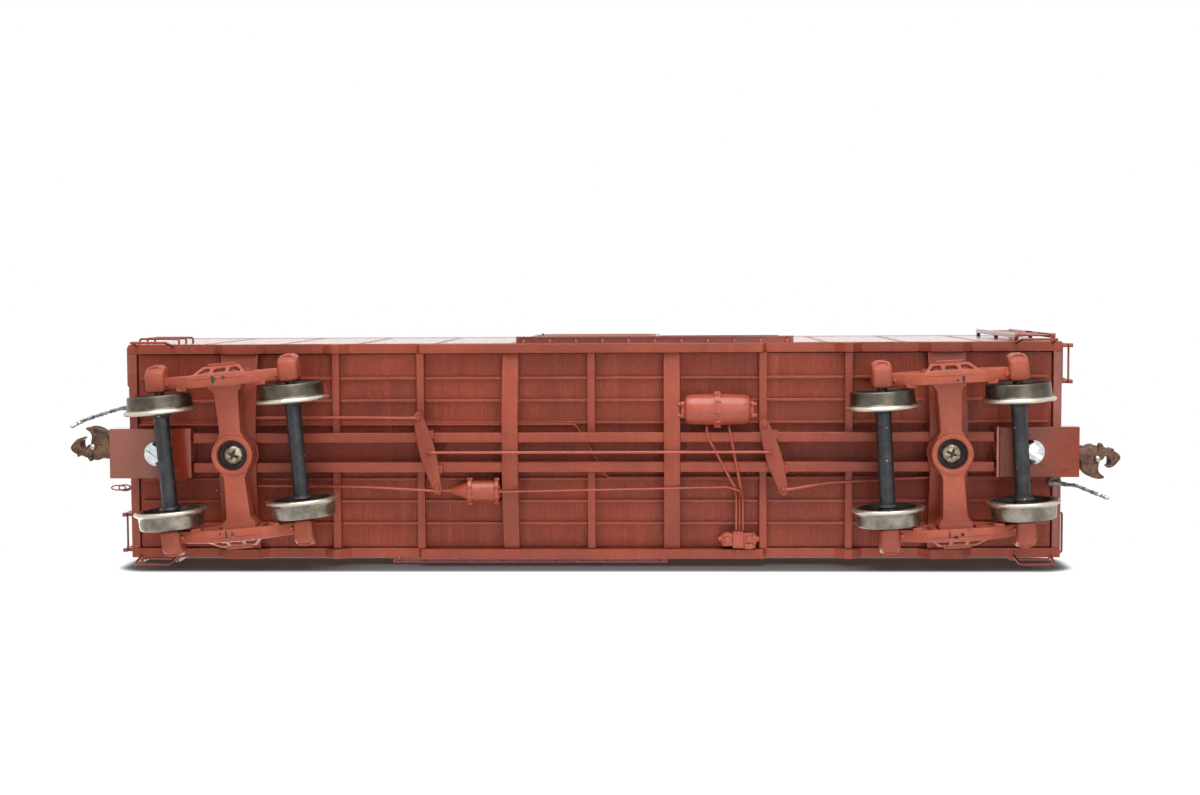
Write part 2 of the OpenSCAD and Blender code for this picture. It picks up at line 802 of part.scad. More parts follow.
module box_lid() {
    color(body_red) difference() {
        block([box_front - lid_len, -box_w / 2, box_floor_z - lid_t], [box_front, box_w / 2, box_floor_z]);
        translate([pivot_x, 0, box_floor_z - 1]) cylinder(h = 2, r = 0.6);
    }
}

module lid_screw() {
    z = box_floor_z - lid_t;
    r = 1.9;
    color(nickel) difference() {
        union() {
            translate([pivot_x, 0, z]) rotate([180, 0, 0]) rotate_extrude()
                polygon([[0, 0], [r, 0], [r - 0.1, 0.35], [r - 0.5, 0.7], [r - 1.1, 0.9], [0, 1]]);
            translate([pivot_x, 0, z]) cylinder(h = box_roof_z - seam - z, r = 0.55);
        }
        translate([pivot_x, 0, z - 1]) rotate([0, 0, 35]) cube([5, 0.55, 1], center = true);
    }
}

// The coupler's head from above, with a guard arm that sweeps out to one side
module head_outline() {
    polygon([
        [0.7, -0.8], [1.3, -0.95], [2.1, -1.2], [2.7, -1.2], [2.9, -0.9], [2.9, 1.2], [2.65, 1.6],
        [2.7, 2.2], [3, 3], [3.6, 3.7], [3.1, 4], [2.4, 3.9], [1.5, 3.3], [0.9, 2.5], [0.6, 1.3],
        [0.7, 0.8]
    ]);
    translate(knuckle_pin) circle(r = lug_r);
}

// The knuckle's hooked nose from above, outside the head's two lugs
module nose_outline() {
    difference() {
        polygon([
            [3.2, 0.6], [3.6, 0], [3.8, -0.6], [4.9, -0.35], [5.65, 0.2], [5.95, 0.95], [5.6, 1.7],
            [4.95, 2.35], [4.4, 2.55], [3.95, 2.3], [4.1, 1.7], [3.9, 1.2], [3.25, 1]
        ]);
        translate(knuckle_pin) circle(r = lug_r + seam);
    }
}

module coupler() {
    low = coupler_z - head_h / 2;
    shank_low = coupler_z - shank_h / 2;
    slot_h = head_h - 2 * lug_t;
    color(rusty) {
        difference() {
            union() {
                translate([box_front, 0, low]) linear_extrude(head_h) head_outline();
                block([pivot_x + 1.6, -0.8, shank_low], [box_front + 1, 0.8, shank_low + shank_h]);
                translate([pivot_x, 0, shank_low]) cylinder(h = shank_h, r = 1.95);
            }
            translate([pivot_x, 0, shank_low - 1]) cylinder(h = 4, r = 1.35);
            block([box_front + 2.1, -1.5, low + lug_t], [box_front + 4, 1.3, low + lug_t + slot_h]);
        }
        translate([box_front + knuckle_pin.x, knuckle_pin.y, low]) cylinder(h = head_h, r = 0.3);
    }
}

module knuckle() {
    tang_h = head_h - 2 * lug_t - 0.14;
    color(rusty) difference() {
        union() {
            translate([box_front, 0, coupler_z - head_h / 2]) linear_extrude(head_h) nose_outline();
            translate([box_front, 0, coupler_z - tang_h / 2]) linear_extrude(tang_h) {
                translate(knuckle_pin) circle(r = lug_r - 0.1);
                polygon([[2.8, 0.2], [3.5, -0.6], [4.3, -0.4], [4.3, 1], [3.3, 0.9]]);
            }
        }
        translate([box_front + knuckle_pin.x, knuckle_pin.y, coupler_z - 2]) cylinder(h = 4, r = 0.36);
    }
}

// An air hose from the angle cock under the end wall, out by reach and down to its glad hand
module air_hose(tip_y, reach) {
    x = half_l - 1.6;
    y = 5.7;
    z = plain_z - 0.9;
    lean = tip_y - y;
    color(hose_grey) {
        x_rod([x - 0.6, y, z], 1.6, 0.5);
        translate([x - 0.1, y, z]) cylinder(h = floor_z - z, r = 0.3);
        wire(rounded([
            [x + 0.8, y, z], [x + 0.23 * reach, y + 0.1 * lean, z - 0.3],
            [x + 0.45 * reach, y + 0.35 * lean, z - 2.9], [x + 0.77 * reach, y + 0.8 * lean, z - 4.6],
            [x + reach, tip_y, z - 5.4]
        ], 1), 0.33);
    }
}

module air_hoses() {
    air_hose(4.7, 8.2);
    rotate([0, 0, 180]) air_hose(7, 6.6);
}

// ---- trucks ----

// Places a truck's pieces at one end: their own frame has its origin under the pivot
module truck_at(side, turn) {
    translate([side * bolster_x, 0, 0]) rotate([0, 0, (side > 0 ? 0 : 180) + turn]) children();
}

module truck_bolster() {
    low = axle_z + 0.35;
    half_bar = 1.85;
    end_y = frame_y + 0.1;
    color(truck_red) difference() {
        union() {
            translate([0, 0, low]) linear_extrude(truck_top - low - 0.3) polygon([
                [-half_bar, -end_y + 1.2], [-2.7, -end_y], [2.7, -end_y], [half_bar, -end_y + 1.2],
                [half_bar, end_y - 1.2], [2.7, end_y], [-2.7, end_y], [-half_bar, end_y - 1.2]
            ]);
            translate([0, 0, low - 0.25]) cylinder(h = truck_top - low + 0.25, r = center_ring_r);
        }
        translate([0, 0, low - 1]) cylinder(h = 2.1, r = screw_hole_r);
        translate([0, 0, low]) cylinder(h = 5, r = 0.95);
    }
}

module truck_screw() {
    head_z = axle_z + 0.35 + 1.1;
    color(nickel) translate([bolster_x, 0, 0]) difference() {
        union() {
            translate([0, 0, head_z - 0.05]) rotate([180, 0, 0]) rotate_extrude()
                polygon([[0, 0], [1.65, 0], [1.6, 0.25], [1.2, 0.55], [0.6, 0.7], [0, 0.72]]);
            translate([0, 0, head_z - 0.05]) cylinder(h = floor_z - head_z, r = 0.85);
        }
        for (a = [20, 110])
            translate([0, 0, head_z - 0.8]) rotate([0, 0, a]) cube([2, 0.4, 0.9], center = true);
    }
}

module screws() {
    both_ends() {
        truck_screw();
        lid_screw();
    }
}

// One side frame in X and Z
module frame_outline() {
    a = wheelbase / 2;
    difference() {
        polygon([
            [-a - 1.4, axle_z + 1.6], [-a - 1, axle_z + 2.1], [-4.2, 9], [4.2, 9], [a + 1, axle_z + 2.1],
            [a + 1.4, axle_z + 1.6], [a + 1.4, axle_z - 0.9], [a - 1.5, axle_z - 1.6],
            [4.6, 2.1], [-4.6, 2.1], [-a + 1.5, axle_z - 1.6], [-a - 1.4, axle_z - 0.9]
        ]);
        for (s = [-1, 1]) polygon([
            [s * 3.9, 7.6], [s * (a - 2.6), axle_z + 1.2], [s * (a - 2.7), axle_z - 0.1], [s * 3.9, 3.9]
        ]);
        translate([-2.9, 3.1]) square([5.8, 2.3]);
    }
}

module side_frame() {
    a = wheelbase / 2;
    color(truck_red) difference() {
        union() {
            upright(frame_y, frame_y + frame_t) frame_outline();
            for (s = [-1, 1]) {
                translate([s * a, box_y, axle_z]) {
                    block([-1.5, 0, -1.7], [1.5, box_depth - 0.9, 1.7]);
                    block([-1.3, box_depth - 0.9, -1.5], [1.3, box_depth, 1.5]);
                }
            }
            upright(frame_y + frame_t, frame_y + frame_t + 0.9)
                polygon([[-3.9, 2.1], [3.9, 2.1], [2.5, 2.9], [-2.5, 2.9]]);
            upright(frame_y + frame_t, frame_y + frame_t + 0.9)
                polygon([[-2.6, 6], [2.6, 6], [2.6, 8.2], [-2.6, 8.2]]);
            for (x = [-1.7, 0, 1.7])
                translate([x, frame_y + frame_t / 2 + 0.6, 2.6]) cylinder(h = 3.2, r = 0.7);
        }
        for (s = [-1, 1]) {
            y_rod([s * a, frame_y - 1, axle_z], 1 + 2.1, journal_d / 2 + 0.1);
            translate([s * a, frame_y + 2.1, axle_z]) rotate([-90, 0, 0])
                cylinder(h = 0.8, r1 = journal_d / 2 + 0.1, r2 = 0.1);
        }
    }
}

module truck_frame() {
    truck_bolster();
    both_sides() side_frame();
}

module axle() {
    inner = back_to_back / 2;
    tip = frame_y + 1.9;
    color(black) translate([0, 0, axle_z]) rotate([-90, 0, 0]) rotate_extrude() polygon([
        [0, -tip - 0.75], [journal_d / 2, -tip], [journal_d / 2, -inner + 0.1], [axle_d / 2 + 0.5, -inner],
        [axle_d / 2 + 0.35, -inner + 0.35], [axle_d / 2, -inner + 0.6], [axle_d / 2, inner - 0.6],
        [axle_d / 2 + 0.35, inner - 0.35], [axle_d / 2 + 0.5, inner], [journal_d / 2, inner - 0.1],
        [journal_d / 2, tip], [0, tip + 0.75]
    ]);
}

// A wheel whose inner face is at y = 0 and whose tread lies towards +Y
module wheel() {
    r = wheel_r;
    fl = r + flange_h;
    bore = journal_d / 2;
    rotate([-90, 0, 0]) rotate_extrude() polygon([
        [bore, 0.1], [bore + 0.55, 0.1], [bore + 0.7, 0.75], [r - 1, 0.75], [r - 0.75, 0.05],
        [fl - 0.3, 0], [fl, 0.25], [fl - 0.05, 0.5], [r + 0.15, 0.78], [r, 1],
        [r - 0.09, wheel_w - 0.15], [r - 0.25, wheel_w], [r - 0.75, wheel_w], [r - 1, wheel_w - 0.9],
        [bore + 0.7, wheel_w - 0.9], [bore + 0.55, wheel_w - 0.35], [bore, wheel_w - 0.35]
    ]);
}

module wheels() {
    color(nickel) both_sides() translate([0, back_to_back / 2, axle_z]) wheel();
}

module on_axle(place) {
    translate([place * wheelbase / 2, 0, 0]) children();
}

// ---- nodes ----

side_wall();  // side_wall_left
rotate([0, 0, 180]) side_wall();  // side_wall_right
both_ends() side_sill();  // side_sills
end_wall();  // end_wall_b
rotate([0, 0, 180]) end_wall();  // end_wall_a
roof();
running_board();
floor_plate();  // floor
weight_plate();
stringers();
center_sill();
body_bolsters();
crossbearers();
cross_ties();
mirror([1, 0, 0]) door();  // door_left
mirror([0, 1, 0]) door();  // door_right
both_ends() mirror([1, 0, 0]) door_tracks();
ladders();
grab_irons();
sill_steps();
brake_wheel();
brake_housing();
brake_step();
reservoir();
brake_cylinder();
brake_valve();
brake_levers();
brake_rods();
brake_pipes();
train_line();
both_ends() draft_box();  // draft_boxes
both_ends() box_lid();  // box_lids
screws();
coupler();  // coupler_b
rotate([0, 0, 180]) coupler();  // coupler_a
knuckle();  // knuckle_b
rotate([0, 0, 180]) knuckle();  // knuckle_a
air_hoses();
truck_at(1, truck_b_turn) truck_frame();  // truck_frame_b
truck_at(-1, truck_a_turn) truck_frame();  // truck_frame_a
truck_at(1, truck_b_turn) on_axle(-1) axle();  // axle_b_inner
truck_at(1, truck_b_turn) on_axle(1) axle();  // axle_b_outer
truck_at(-1, truck_a_turn) on_axle(-1) axle();  // axle_a_inner
truck_at(-1, truck_a_turn) on_axle(1) axle();  // axle_a_outer
truck_at(1, truck_b_turn) on_axle(-1) wheels();  // wheels_b_inner
truck_at(1, truck_b_turn) on_axle(1) wheels();  // wheels_b_outer
truck_at(-1, truck_a_turn) on_axle(-1) wheels();  // wheels_a_inner
truck_at(-1, truck_a_turn) on_axle(1) wheels();  // wheels_a_outer
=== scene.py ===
"""Looks of a scale-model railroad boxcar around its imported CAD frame. Lengths below are in millimetres."""
import json
import math

import bmesh
import bpy
from mathutils import Matrix, Vector


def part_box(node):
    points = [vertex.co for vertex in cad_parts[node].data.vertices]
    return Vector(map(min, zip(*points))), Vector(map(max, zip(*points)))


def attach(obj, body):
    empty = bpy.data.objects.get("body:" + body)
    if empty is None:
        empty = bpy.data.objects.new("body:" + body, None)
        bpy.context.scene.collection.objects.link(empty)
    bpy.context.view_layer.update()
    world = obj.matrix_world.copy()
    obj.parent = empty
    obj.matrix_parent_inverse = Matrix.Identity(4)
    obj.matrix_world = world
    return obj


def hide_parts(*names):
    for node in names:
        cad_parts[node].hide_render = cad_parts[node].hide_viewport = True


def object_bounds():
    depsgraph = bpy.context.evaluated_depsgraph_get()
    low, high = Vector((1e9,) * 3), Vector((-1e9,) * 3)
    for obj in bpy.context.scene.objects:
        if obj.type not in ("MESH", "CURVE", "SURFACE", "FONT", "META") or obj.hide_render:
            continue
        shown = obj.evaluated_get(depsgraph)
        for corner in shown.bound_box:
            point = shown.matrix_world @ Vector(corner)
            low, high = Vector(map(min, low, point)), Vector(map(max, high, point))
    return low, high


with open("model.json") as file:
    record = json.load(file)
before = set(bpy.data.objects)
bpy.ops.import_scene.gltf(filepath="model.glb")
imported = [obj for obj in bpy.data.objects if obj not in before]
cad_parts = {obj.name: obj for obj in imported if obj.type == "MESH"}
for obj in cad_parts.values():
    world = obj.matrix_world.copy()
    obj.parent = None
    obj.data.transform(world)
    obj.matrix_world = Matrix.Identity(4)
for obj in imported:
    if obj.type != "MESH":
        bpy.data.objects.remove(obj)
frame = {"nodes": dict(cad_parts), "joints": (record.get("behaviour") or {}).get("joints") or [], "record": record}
CAD_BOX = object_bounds()
NODES = frame["nodes"]
MM = 0.001


def box_of(node):
    """A CAD node's lowest and highest corners, in millimetres."""
    low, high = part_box(node)
    return low / MM, high / MM


# ---------------------------------------------------------------- places

LOW = Vector(CAD_BOX[0]) / MM
SILL_LOW, SILL_HIGH = box_of("side_sills")
FLOOR_LOW, FLOOR_HIGH = box_of("floor")
WALL_LOW, WALL_HIGH = box_of("side_wall_left")
HALF_L = SILL_HIGH.x
HALF_W = SILL_HIGH.y
WALL_Z, EAVE_Z = WALL_LOW.z, WALL_HIGH.z
FLOOR_Z = FLOOR_LOW.z
JOINTS = {j["name"]: j for j in frame["joints"]}


def joint_place(name):
    """Where a joint's pin is, in millimetres."""
    return Vector(JOINTS[name]["pos_m"]) / MM


def half_turn():
    """The two placements that a pair of like ends or sides has."""
    return [Matrix.Rotation(k * math.pi, 4, "Z") for k in range(2)]


# ---------------------------------------------------------------- materials


def linear(r, g, b):
    """A colour written in 0-255 screen values, as the shader wants it."""
    return tuple(((c / 255 + 0.055) / 1.055) ** 2.4 if c > 10 else c / 255 / 12.92 for c in (r, g, b)) + (1,)


class Shader:
    """A node tree, with short calls for the nodes used here. Colours are 0-255 screen values."""

    def __init__(self, name, kept_in=bpy.data.materials, out="ShaderNodeOutputMaterial"):
        self.owner = kept_in.new(name)
        self.owner.use_nodes = True
        self.nodes = self.owner.node_tree.nodes
        self.links = self.owner.node_tree.links
        self.nodes.clear()
        self.out = self.nodes.new(out)
        self.coords = None

    def add(self, kind, inputs=None, **settings):
        node = self.nodes.new(kind)
        for key, value in settings.items():
            setattr(node, key, value)
        for key, value in (inputs or {}).items():
            self.feed(node.inputs[key], value)
        return node

    def feed(self, socket, value):
        if isinstance(value, bpy.types.NodeSocket):
            self.links.new(value, socket)
        else:
            socket.default_value = value

    def place(self):
        if self.coords is None:
            self.coords = self.add("ShaderNodeTexCoord").outputs["Object"]
        return self.coords

    def stretched(self, scale):
        return self.add("ShaderNodeMapping", {"Vector": self.place(), "Scale": scale}).outputs["Vector"]

    def noise(self, scale, detail=4, roughness=0.55, vector=None):
        inputs = {"Vector": vector or self.place(), "Scale": scale, "Detail": detail, "Roughness": roughness}
        return self.add("ShaderNodeTexNoise", inputs).outputs["Fac"]

    def specks(self, scale, size, share):
        """Small round spots, in a share of the cells of a grid."""
        cells = self.add("ShaderNodeTexVoronoi", {"Vector": self.place(), "Scale": scale, "Randomness": 1.0})
        spot = self.ramp(cells.outputs["Distance"], size, size * 0.6)
        draw = self.add("ShaderNodeSeparateColor", {0: cells.outputs["Color"]}).outputs[0]
        return self.math("MULTIPLY", spot, self.math("LESS_THAN", draw, share))

    def ramp(self, factor, low, high, a=0.0, b=1.0):
        """The factor's stretch from low to high, spread out from a to b."""
        return self.add("ShaderNodeMapRange", {"Value": factor, "From Min": low, "From Max": high,
                                               "To Min": a, "To Max": b}).outputs["Result"]

    def math(self, operation, a, b):
        return self.add("ShaderNodeMath", {0: a, 1: b}, operation=operation).outputs[0]

    def vector(self, operation, a, b=None, output="Vector"):
        inputs = {0: a} if b is None else {0: a, 1: b}
        return self.add("ShaderNodeVectorMath", inputs, operation=operation).outputs[output]

    def part(self, vector, axis):
        return self.add("ShaderNodeSeparateXYZ", {0: vector}).outputs[axis]

    def mix(self, factor, a, b):
        node = self.add("ShaderNodeMix", {"Factor": factor}, data_type="RGBA")
        for socket, color in ((6, a), (7, b)):
            self.feed(node.inputs[socket], linear(*color) if isinstance(color, tuple) else color)
        return node.outputs[2]

    def mottled(self, scale, detail, a, b, low=0.38, high=0.66):
        """Two colours in soft patches: b takes over where the noise goes from low to high."""
        return self.mix(self.ramp(self.noise(scale, detail), low, high), a, b)

    def over(self, color, mask, share, tone):
        """A colour with a share of another laid over it where the mask is."""
        return self.mix(self.math("MULTIPLY", mask, share), color, tone)

    def uneven(self, scale, detail, low, high):
        """A value that wanders between low and high."""
        return self.ramp(self.noise(scale, detail), 0.3, 0.7, low, high)

    def bump(self, height, depth, strength, normal=None):
        """The surface's tooth; depth is in millimetres."""
        inputs = {"Height": height, "Distance": depth * MM, "Strength": strength}
        if normal:
            inputs["Normal"] = normal
        return self.add("ShaderNodeBump", inputs).outputs["Normal"]

    def grain(self, scale, detail, depth, strength, normal=None):
        """A tooth made by noise, on top of another when there is one."""
        return self.bump(self.noise(scale, detail), depth, strength, normal)

    def surface(self, color, roughness, normal=None, metallic=0.0, specular=0.5, coat=0.0):
        inputs = {"Base Color": color, "Roughness": roughness, "Metallic": metallic,
                  "Specular IOR Level": specular, "Coat Weight": coat, "Coat Roughness": 0.12}
        node = self.add("ShaderNodeBsdfPrincipled", inputs)
        if normal:
            self.feed(node.inputs["Normal"], normal)
        return self.done(node.outputs["BSDF"])

    def done(self, shown):
        self.links.new(shown, self.out.inputs["Surface"])
        return self.owner


def paint(name, base, deep, light, roughness=0.4, dust=0.05, coat=0.0, streaks=0.35, specular=0.4):
    """Satin model paint over plastic: soft mottling, a fine tooth, and light and dark dust."""
    s = Shader(name)
    color = s.mottled(70, 5, base, deep)
    color = s.over(color, s.ramp(s.noise(1400, 3), 0.5, 0.75), 0.3, light)
    runs = s.noise(1, 3, vector=s.stretched((1100, 60, 900)))
    color = s.over(color, s.ramp(runs, 0.46, 0.72), streaks, deep)
    pale = s.noise(1, 3, vector=s.stretched((760, 45, 700)))
    color = s.over(color, s.ramp(pale, 0.55, 0.75), streaks * 0.6, light)
    color = s.over(color, s.specks(260, 0.045, dust), 0.75, (214, 196, 186))
    color = s.over(color, s.specks(210, 0.06, dust), 0.7, (66, 26, 22))
    rough = s.uneven(500, 4, roughness - 0.06, roughness + 0.1)
    normal = s.grain(420, 3, 0.02, 0.25, s.grain(5000, 3, 0.01, 0.35))
    return s.surface(color, rough, normal, specular=specular, coat=coat)


def lid_paint():
    """The two lids differ: a dusty brown one at the brake end and a glossier orange-red one at the other."""
    s = Shader("lid_paint")
    chips = s.ramp(s.noise(900, 5), 0.60, 0.66)
    dusty = s.mottled(90, 4, (154, 94, 80), (138, 82, 68))
    dusty = s.over(dusty, s.specks(300, 0.05, 0.06), 0.7, (206, 186, 172))
    glossy = s.mottled(120, 4, (146, 58, 32), (122, 46, 26))
    glossy = s.over(glossy, chips, 0.6, (70, 26, 20))
    brake_end = s.math("GREATER_THAN", s.part(s.place(), 0), 0.0)
    rough = s.ramp(brake_end, 0, 1, 0.32, 0.5)
    return s.surface(s.mix(brake_end, glossy, dusty), rough, s.grain(3000, 4, 0.01, 0.4))


def truck_plastic():
    """Moulded oxide-red plastic, a little paler where its surface is rubbed."""
    s = Shader("truck_plastic")
    color = s.mottled(160, 4, (178, 88, 64), (160, 76, 56))
    color = s.over(color, s.ramp(s.noise(1500, 3), 0.55, 0.78), 0.3, (206, 124, 102))
    color = s.over(color, s.specks(240, 0.07, 0.05), 0.7, (214, 186, 170))
    return s.surface(color, s.uneven(700, 3, 0.32, 0.46), s.grain(5000, 3, 0.01, 0.3), specular=0.35)


def wheel_metal(wheelset):
    """Dark nickel: bright where the tread and flange are rubbed, dull and brown inside the faces; the treads also
    carry painted shade on the wheels at +Y and painted light on the others.
    """
    s = Shader("wheel_metal_" + wheelset)
    joint = JOINTS[f"wheelset_{wheelset}_spin"]
    from_hub = s.vector("SUBTRACT", s.place(), tuple(joint["pos_m"]))
    along = s.vector("DOT_PRODUCT", from_hub, tuple(joint["axis"]), "Value")
    radius = s.math("SQRT", s.math("SUBTRACT", s.vector("DOT_PRODUCT", from_hub, from_hub, "Value"),
                                   s.math("MULTIPLY", along, along)), 0.0)
    finest = 9 / MM
    turning_lines = {0: s.math("MULTIPLY", along, finest), 1: s.math("MULTIPLY", radius, finest)}
    rings = s.noise(1, 4, vector=s.add("ShaderNodeCombineXYZ", turning_lines).outputs[0])
    blotch = s.ramp(s.noise(420, 5), 0.36, 0.66)
    # Painted shade and light: treads on the +Y wheels are painted darker, and those on the -Y wheels paler.
    upper = s.math("GREATER_THAN", s.part(s.place(), 1), 0.0)
    wear_and_painted_light = s.mix(blotch, (176, 168, 154), (112, 104, 94))
    wear_and_painted_light = s.mix(upper, wear_and_painted_light, s.mix(blotch, (98, 91, 80), (54, 48, 42)))
    wear_and_painted_light = s.over(wear_and_painted_light, rings, 0.5, (112, 105, 94))
    dull = s.mottled(900, 4, (84, 76, 68), (42, 38, 35), 0.35, 0.7)
    rim = s.ramp(radius, 4.25 * MM, 4.6 * MM)
    flange_edge = s.ramp(radius, 4.98 * MM, 5.2 * MM)
    color = s.mix(flange_edge, s.mix(rim, dull, wear_and_painted_light), (206, 198, 180))
    rough = s.math("ADD", s.ramp(rim, 0, 1, 0.5, 0.3), s.uneven(1800, 4, -0.06, 0.1))
    normal = s.grain(3200, 4, 0.02, 0.4, s.bump(rings, 0.01, 0.5))
    return s.surface(color, rough, normal, metallic=0.9)


def axle_plastic():
    """Black plastic with a satin shine and a few pale chips."""
    s = Shader("axle_plastic")
    color = s.mottled(800, 4, (30, 31, 34), (62, 62, 64), 0.45, 0.75)
    color = s.mix(s.specks(800, 0.2, 0.16), color, (186, 172, 148))
    return s.surface(color, s.uneven(900, 3, 0.3, 0.5), s.grain(3000, 4, 0.03, 0.4))


def coupler_metal():
    """Cast brown metal with bronze wear on its high spots."""
    s = Shader("coupler_metal")
    color = s.mottled(700, 5, (112, 80, 60), (62, 42, 34))
    color = s.mottled(2200, 4, color, (160, 124, 98), 0.58, 0.75)
    return s.surface(color, s.uneven(1600, 3, 0.38, 0.6), s.grain(2400, 5, 0.05, 0.6), metallic=0.35)


def hose_plastic():
    """Dark grey plastic, rubbed pale in patches."""
    s = Shader("hose_plastic")
    color = s.mottled(900, 4, (82, 80, 78), (186, 182, 176), 0.45, 0.7)
    return s.surface(color, s.uneven(1200, 3, 0.4, 0.6), s.grain(2500, 4, 0.04, 0.6), metallic=0.2)


def bare_metal(name, tone, shade, roughness):
    """Plain metal of one tone, with faint darker or lighter patches."""
    s = Shader(name)
    color = s.mottled(1300, 4, tone, shade, 0.35, 0.75)
    rough = s.uneven(2000, 3, roughness - 0.06, roughness + 0.1)
    return s.surface(color, rough, s.grain(4000, 3, 0.01, 0.4), metallic=1.0)


def screw_metal():
    """Bright plated lid screws, and duller, dirtier ones inside the trucks' centre rings."""
    s = Shader("screw_metal")
    bright = s.mottled(1300, 4, (232, 234, 236), (184, 188, 190), 0.35, 0.75)
    dull = s.mottled(1500, 5, (182, 170, 146), (96, 84, 70), 0.38, 0.68)
    from_middle = s.math("ABSOLUTE", s.part(s.place(), 0), 0.0)
    at_end = s.math("GREATER_THAN", from_middle, (HALF_L - 11) * MM)
    rough = s.math("ADD", s.ramp(at_end, 0, 1, 0.36, 0.14), s.uneven(2000, 3, -0.04, 0.08))
    return s.surface(s.mix(at_end, dull, bright), rough, s.grain(4000, 3, 0.01, 0.4), metallic=1.0)


def painted_shade_black():
    """Dull, nearly black painted shade, laid in holes and recesses."""
    s = Shader("painted_shade_black")
    color = s.mottled(1500, 4, (30, 22, 20), (62, 42, 36), 0.4, 0.7)
    return s.surface(color, s.uneven(2500, 3, 0.6, 0.8), s.grain(3000, 3, 0.02, 0.5))


BODY_PAINT = paint("body_paint", (150, 66, 46), (134, 56, 40), (172, 88, 66), roughness=0.24, dust=0.02,
                   coat=0.8, streaks=0.1, specular=0.15)
FRAME_PAINT = paint("underframe_paint", (156, 70, 48), (134, 58, 40), (180, 92, 68), specular=0.35)
FLOOR_PAINT = paint("floor_paint", (146, 62, 42), (122, 50, 34), (170, 86, 64), roughness=0.46, dust=0.03,
                    streaks=0.6, specular=0.3)
GEAR_PAINT = paint("brake_gear_paint", (176, 80, 56), (160, 70, 48), (200, 106, 84), roughness=0.34,
                   coat=0.25)
LID_PAINT = lid_paint()
BOX_PAINT = paint("draft_box_paint", (156, 56, 30), (132, 46, 26), (178, 80, 56), roughness=0.22, dust=0.04,
                  coat=1.0, streaks=0.1)
PIN_METAL = bare_metal("pin_metal", (204, 198, 186), (140, 132, 118), 0.28)
RUBBED_BLACK = bare_metal("rubbed_black", (52, 50, 50), (92, 84, 82), 0.5)
# Painted shade: a near-black colour for sheets put where holes and recesses lie in shade.
PAINTED_SHADE = painted_shade_black()
SLOT_MATERIAL = {
    "body_paint": BODY_PAINT,
    "underframe_paint": FRAME_PAINT,
    "brake_gear_paint": GEAR_PAINT,
    "truck_plastic": truck_plastic(),
    "axle_plastic": axle_plastic(),
    "coupler_metal": coupler_metal(),
    "hose_plastic": hose_plastic(),
    "screw_metal": screw_metal(),
    "weight_metal": bare_metal("weight_metal", (176, 174, 170), (140, 138, 134), 0.42),
}

for subpart in frame["record"]["subparts"]:
    node, slot = subpart["node"], subpart["material_slot"]
    mesh = NODES[node].data
    mesh.materials.clear()
    if slot == "wheel_metal":
        mesh.materials.append(wheel_metal(node.removeprefix("wheels_")))
    else:
        mesh.materials.append(SLOT_MATERIAL[slot])
NODES["floor"].data.materials[0] = FLOOR_PAINT
NODES["draft_boxes"].data.materials[0] = BOX_PAINT
NODES["brake_pipes"].data.materials[0] = GEAR_PAINT


SHARP = math.radians(32)


def soften(width, *nodes):
    """Rounds a CAD node's edges a little, as moulded plastic has them."""
    for name in nodes:
        node = NODES[name]
        weld = node.modifiers.new("weld", "WELD")
        weld.merge_threshold = 0.002 * MM
        bevel = node.modifiers.new("soft_edges", "BEVEL")
        bevel.width = width * MM
        bevel.segments = 2
        bevel.limit_method = "ANGLE"
        bevel.angle_limit = SHARP
        bevel.use_clamp_overlap = True
        node.modifiers.new("shading", "WEIGHTED_NORMAL").keep_sharp = False


soften(0.12, "side_sills", "center_sill", "crossbearers", "cross_ties", "body_bolsters", "draft_boxes",
       "side_wall_left", "side_wall_right", "roof", "end_wall_a", "end_wall_b")
soften(0.08, "stringers", "running_board", "brake_housing", "brake_step", "ladders", "weight_plate")
soften(0.07, "screws")
soften(0.1, "wheels_a_inner", "wheels_a_outer", "wheels_b_inner", "wheels_b_outer")

# ---------------------------------------------------------------- mesh building


def rounded(points, radius, steps=3):
    """A closed outline with each corner turned into a short curve."""
    out = []
    for i, point in enumerate(points):
        corner = Vector(point)
        before = Vector(points[i - 1]) - corner
        after = Vector(points[(i + 1) % len(points)]) - corner
        cut = min(radius, 0.45 * before.length, 0.45 * after.length)
        start, end = corner + before.normalized() * cut, corner + after.normalized() * cut
        for k in range(steps + 1):
            t = k / steps
            out.append((1 - t) ** 2 * start + 2 * t * (1 - t) * corner + t * t * end)
    return out


def bent(points, radius, steps=4):
    """An open path with each inner corner turned into a short curve."""
    points = [Vector(p) for p in points]
    closed = rounded(points, radius, steps)
    inner = closed[steps + 1:-(steps + 1)]
    return [points[0]] + inner + [points[-1]]


def oblong(x0, y0, x1, y1, radius):
    """A rectangle's outline with rounded corners."""
    return rounded([(x0, y0), (x1, y0), (x1, y1), (x0, y1)], radius)


def circle(r, steps=40, x=0, y=0):
    turns = [2 * math.pi * k / steps for k in range(steps)]
    return [(x + r * math.cos(a), y + r * math.sin(a)) for a in turns]


def ring(place, side, up, radius, sides):
    """Points around a place, in the plane of two directions."""
    turns = [2 * math.pi * k / sides for k in range(sides)]
    return [place + radius * (math.cos(a) * side + math.sin(a) * up) for a in turns]


PLANES = {"xy": (0, 1, 2), "xz": (0, 2, 1), "yz": (1, 2, 0)}


def in_plane(plane, u, v, w):
    """The point that is at u and v in a plane, and at w along the third axis."""
    flat = (u, v, w)
    return [flat[PLANES[plane].index(axis)] for axis in range(3)]


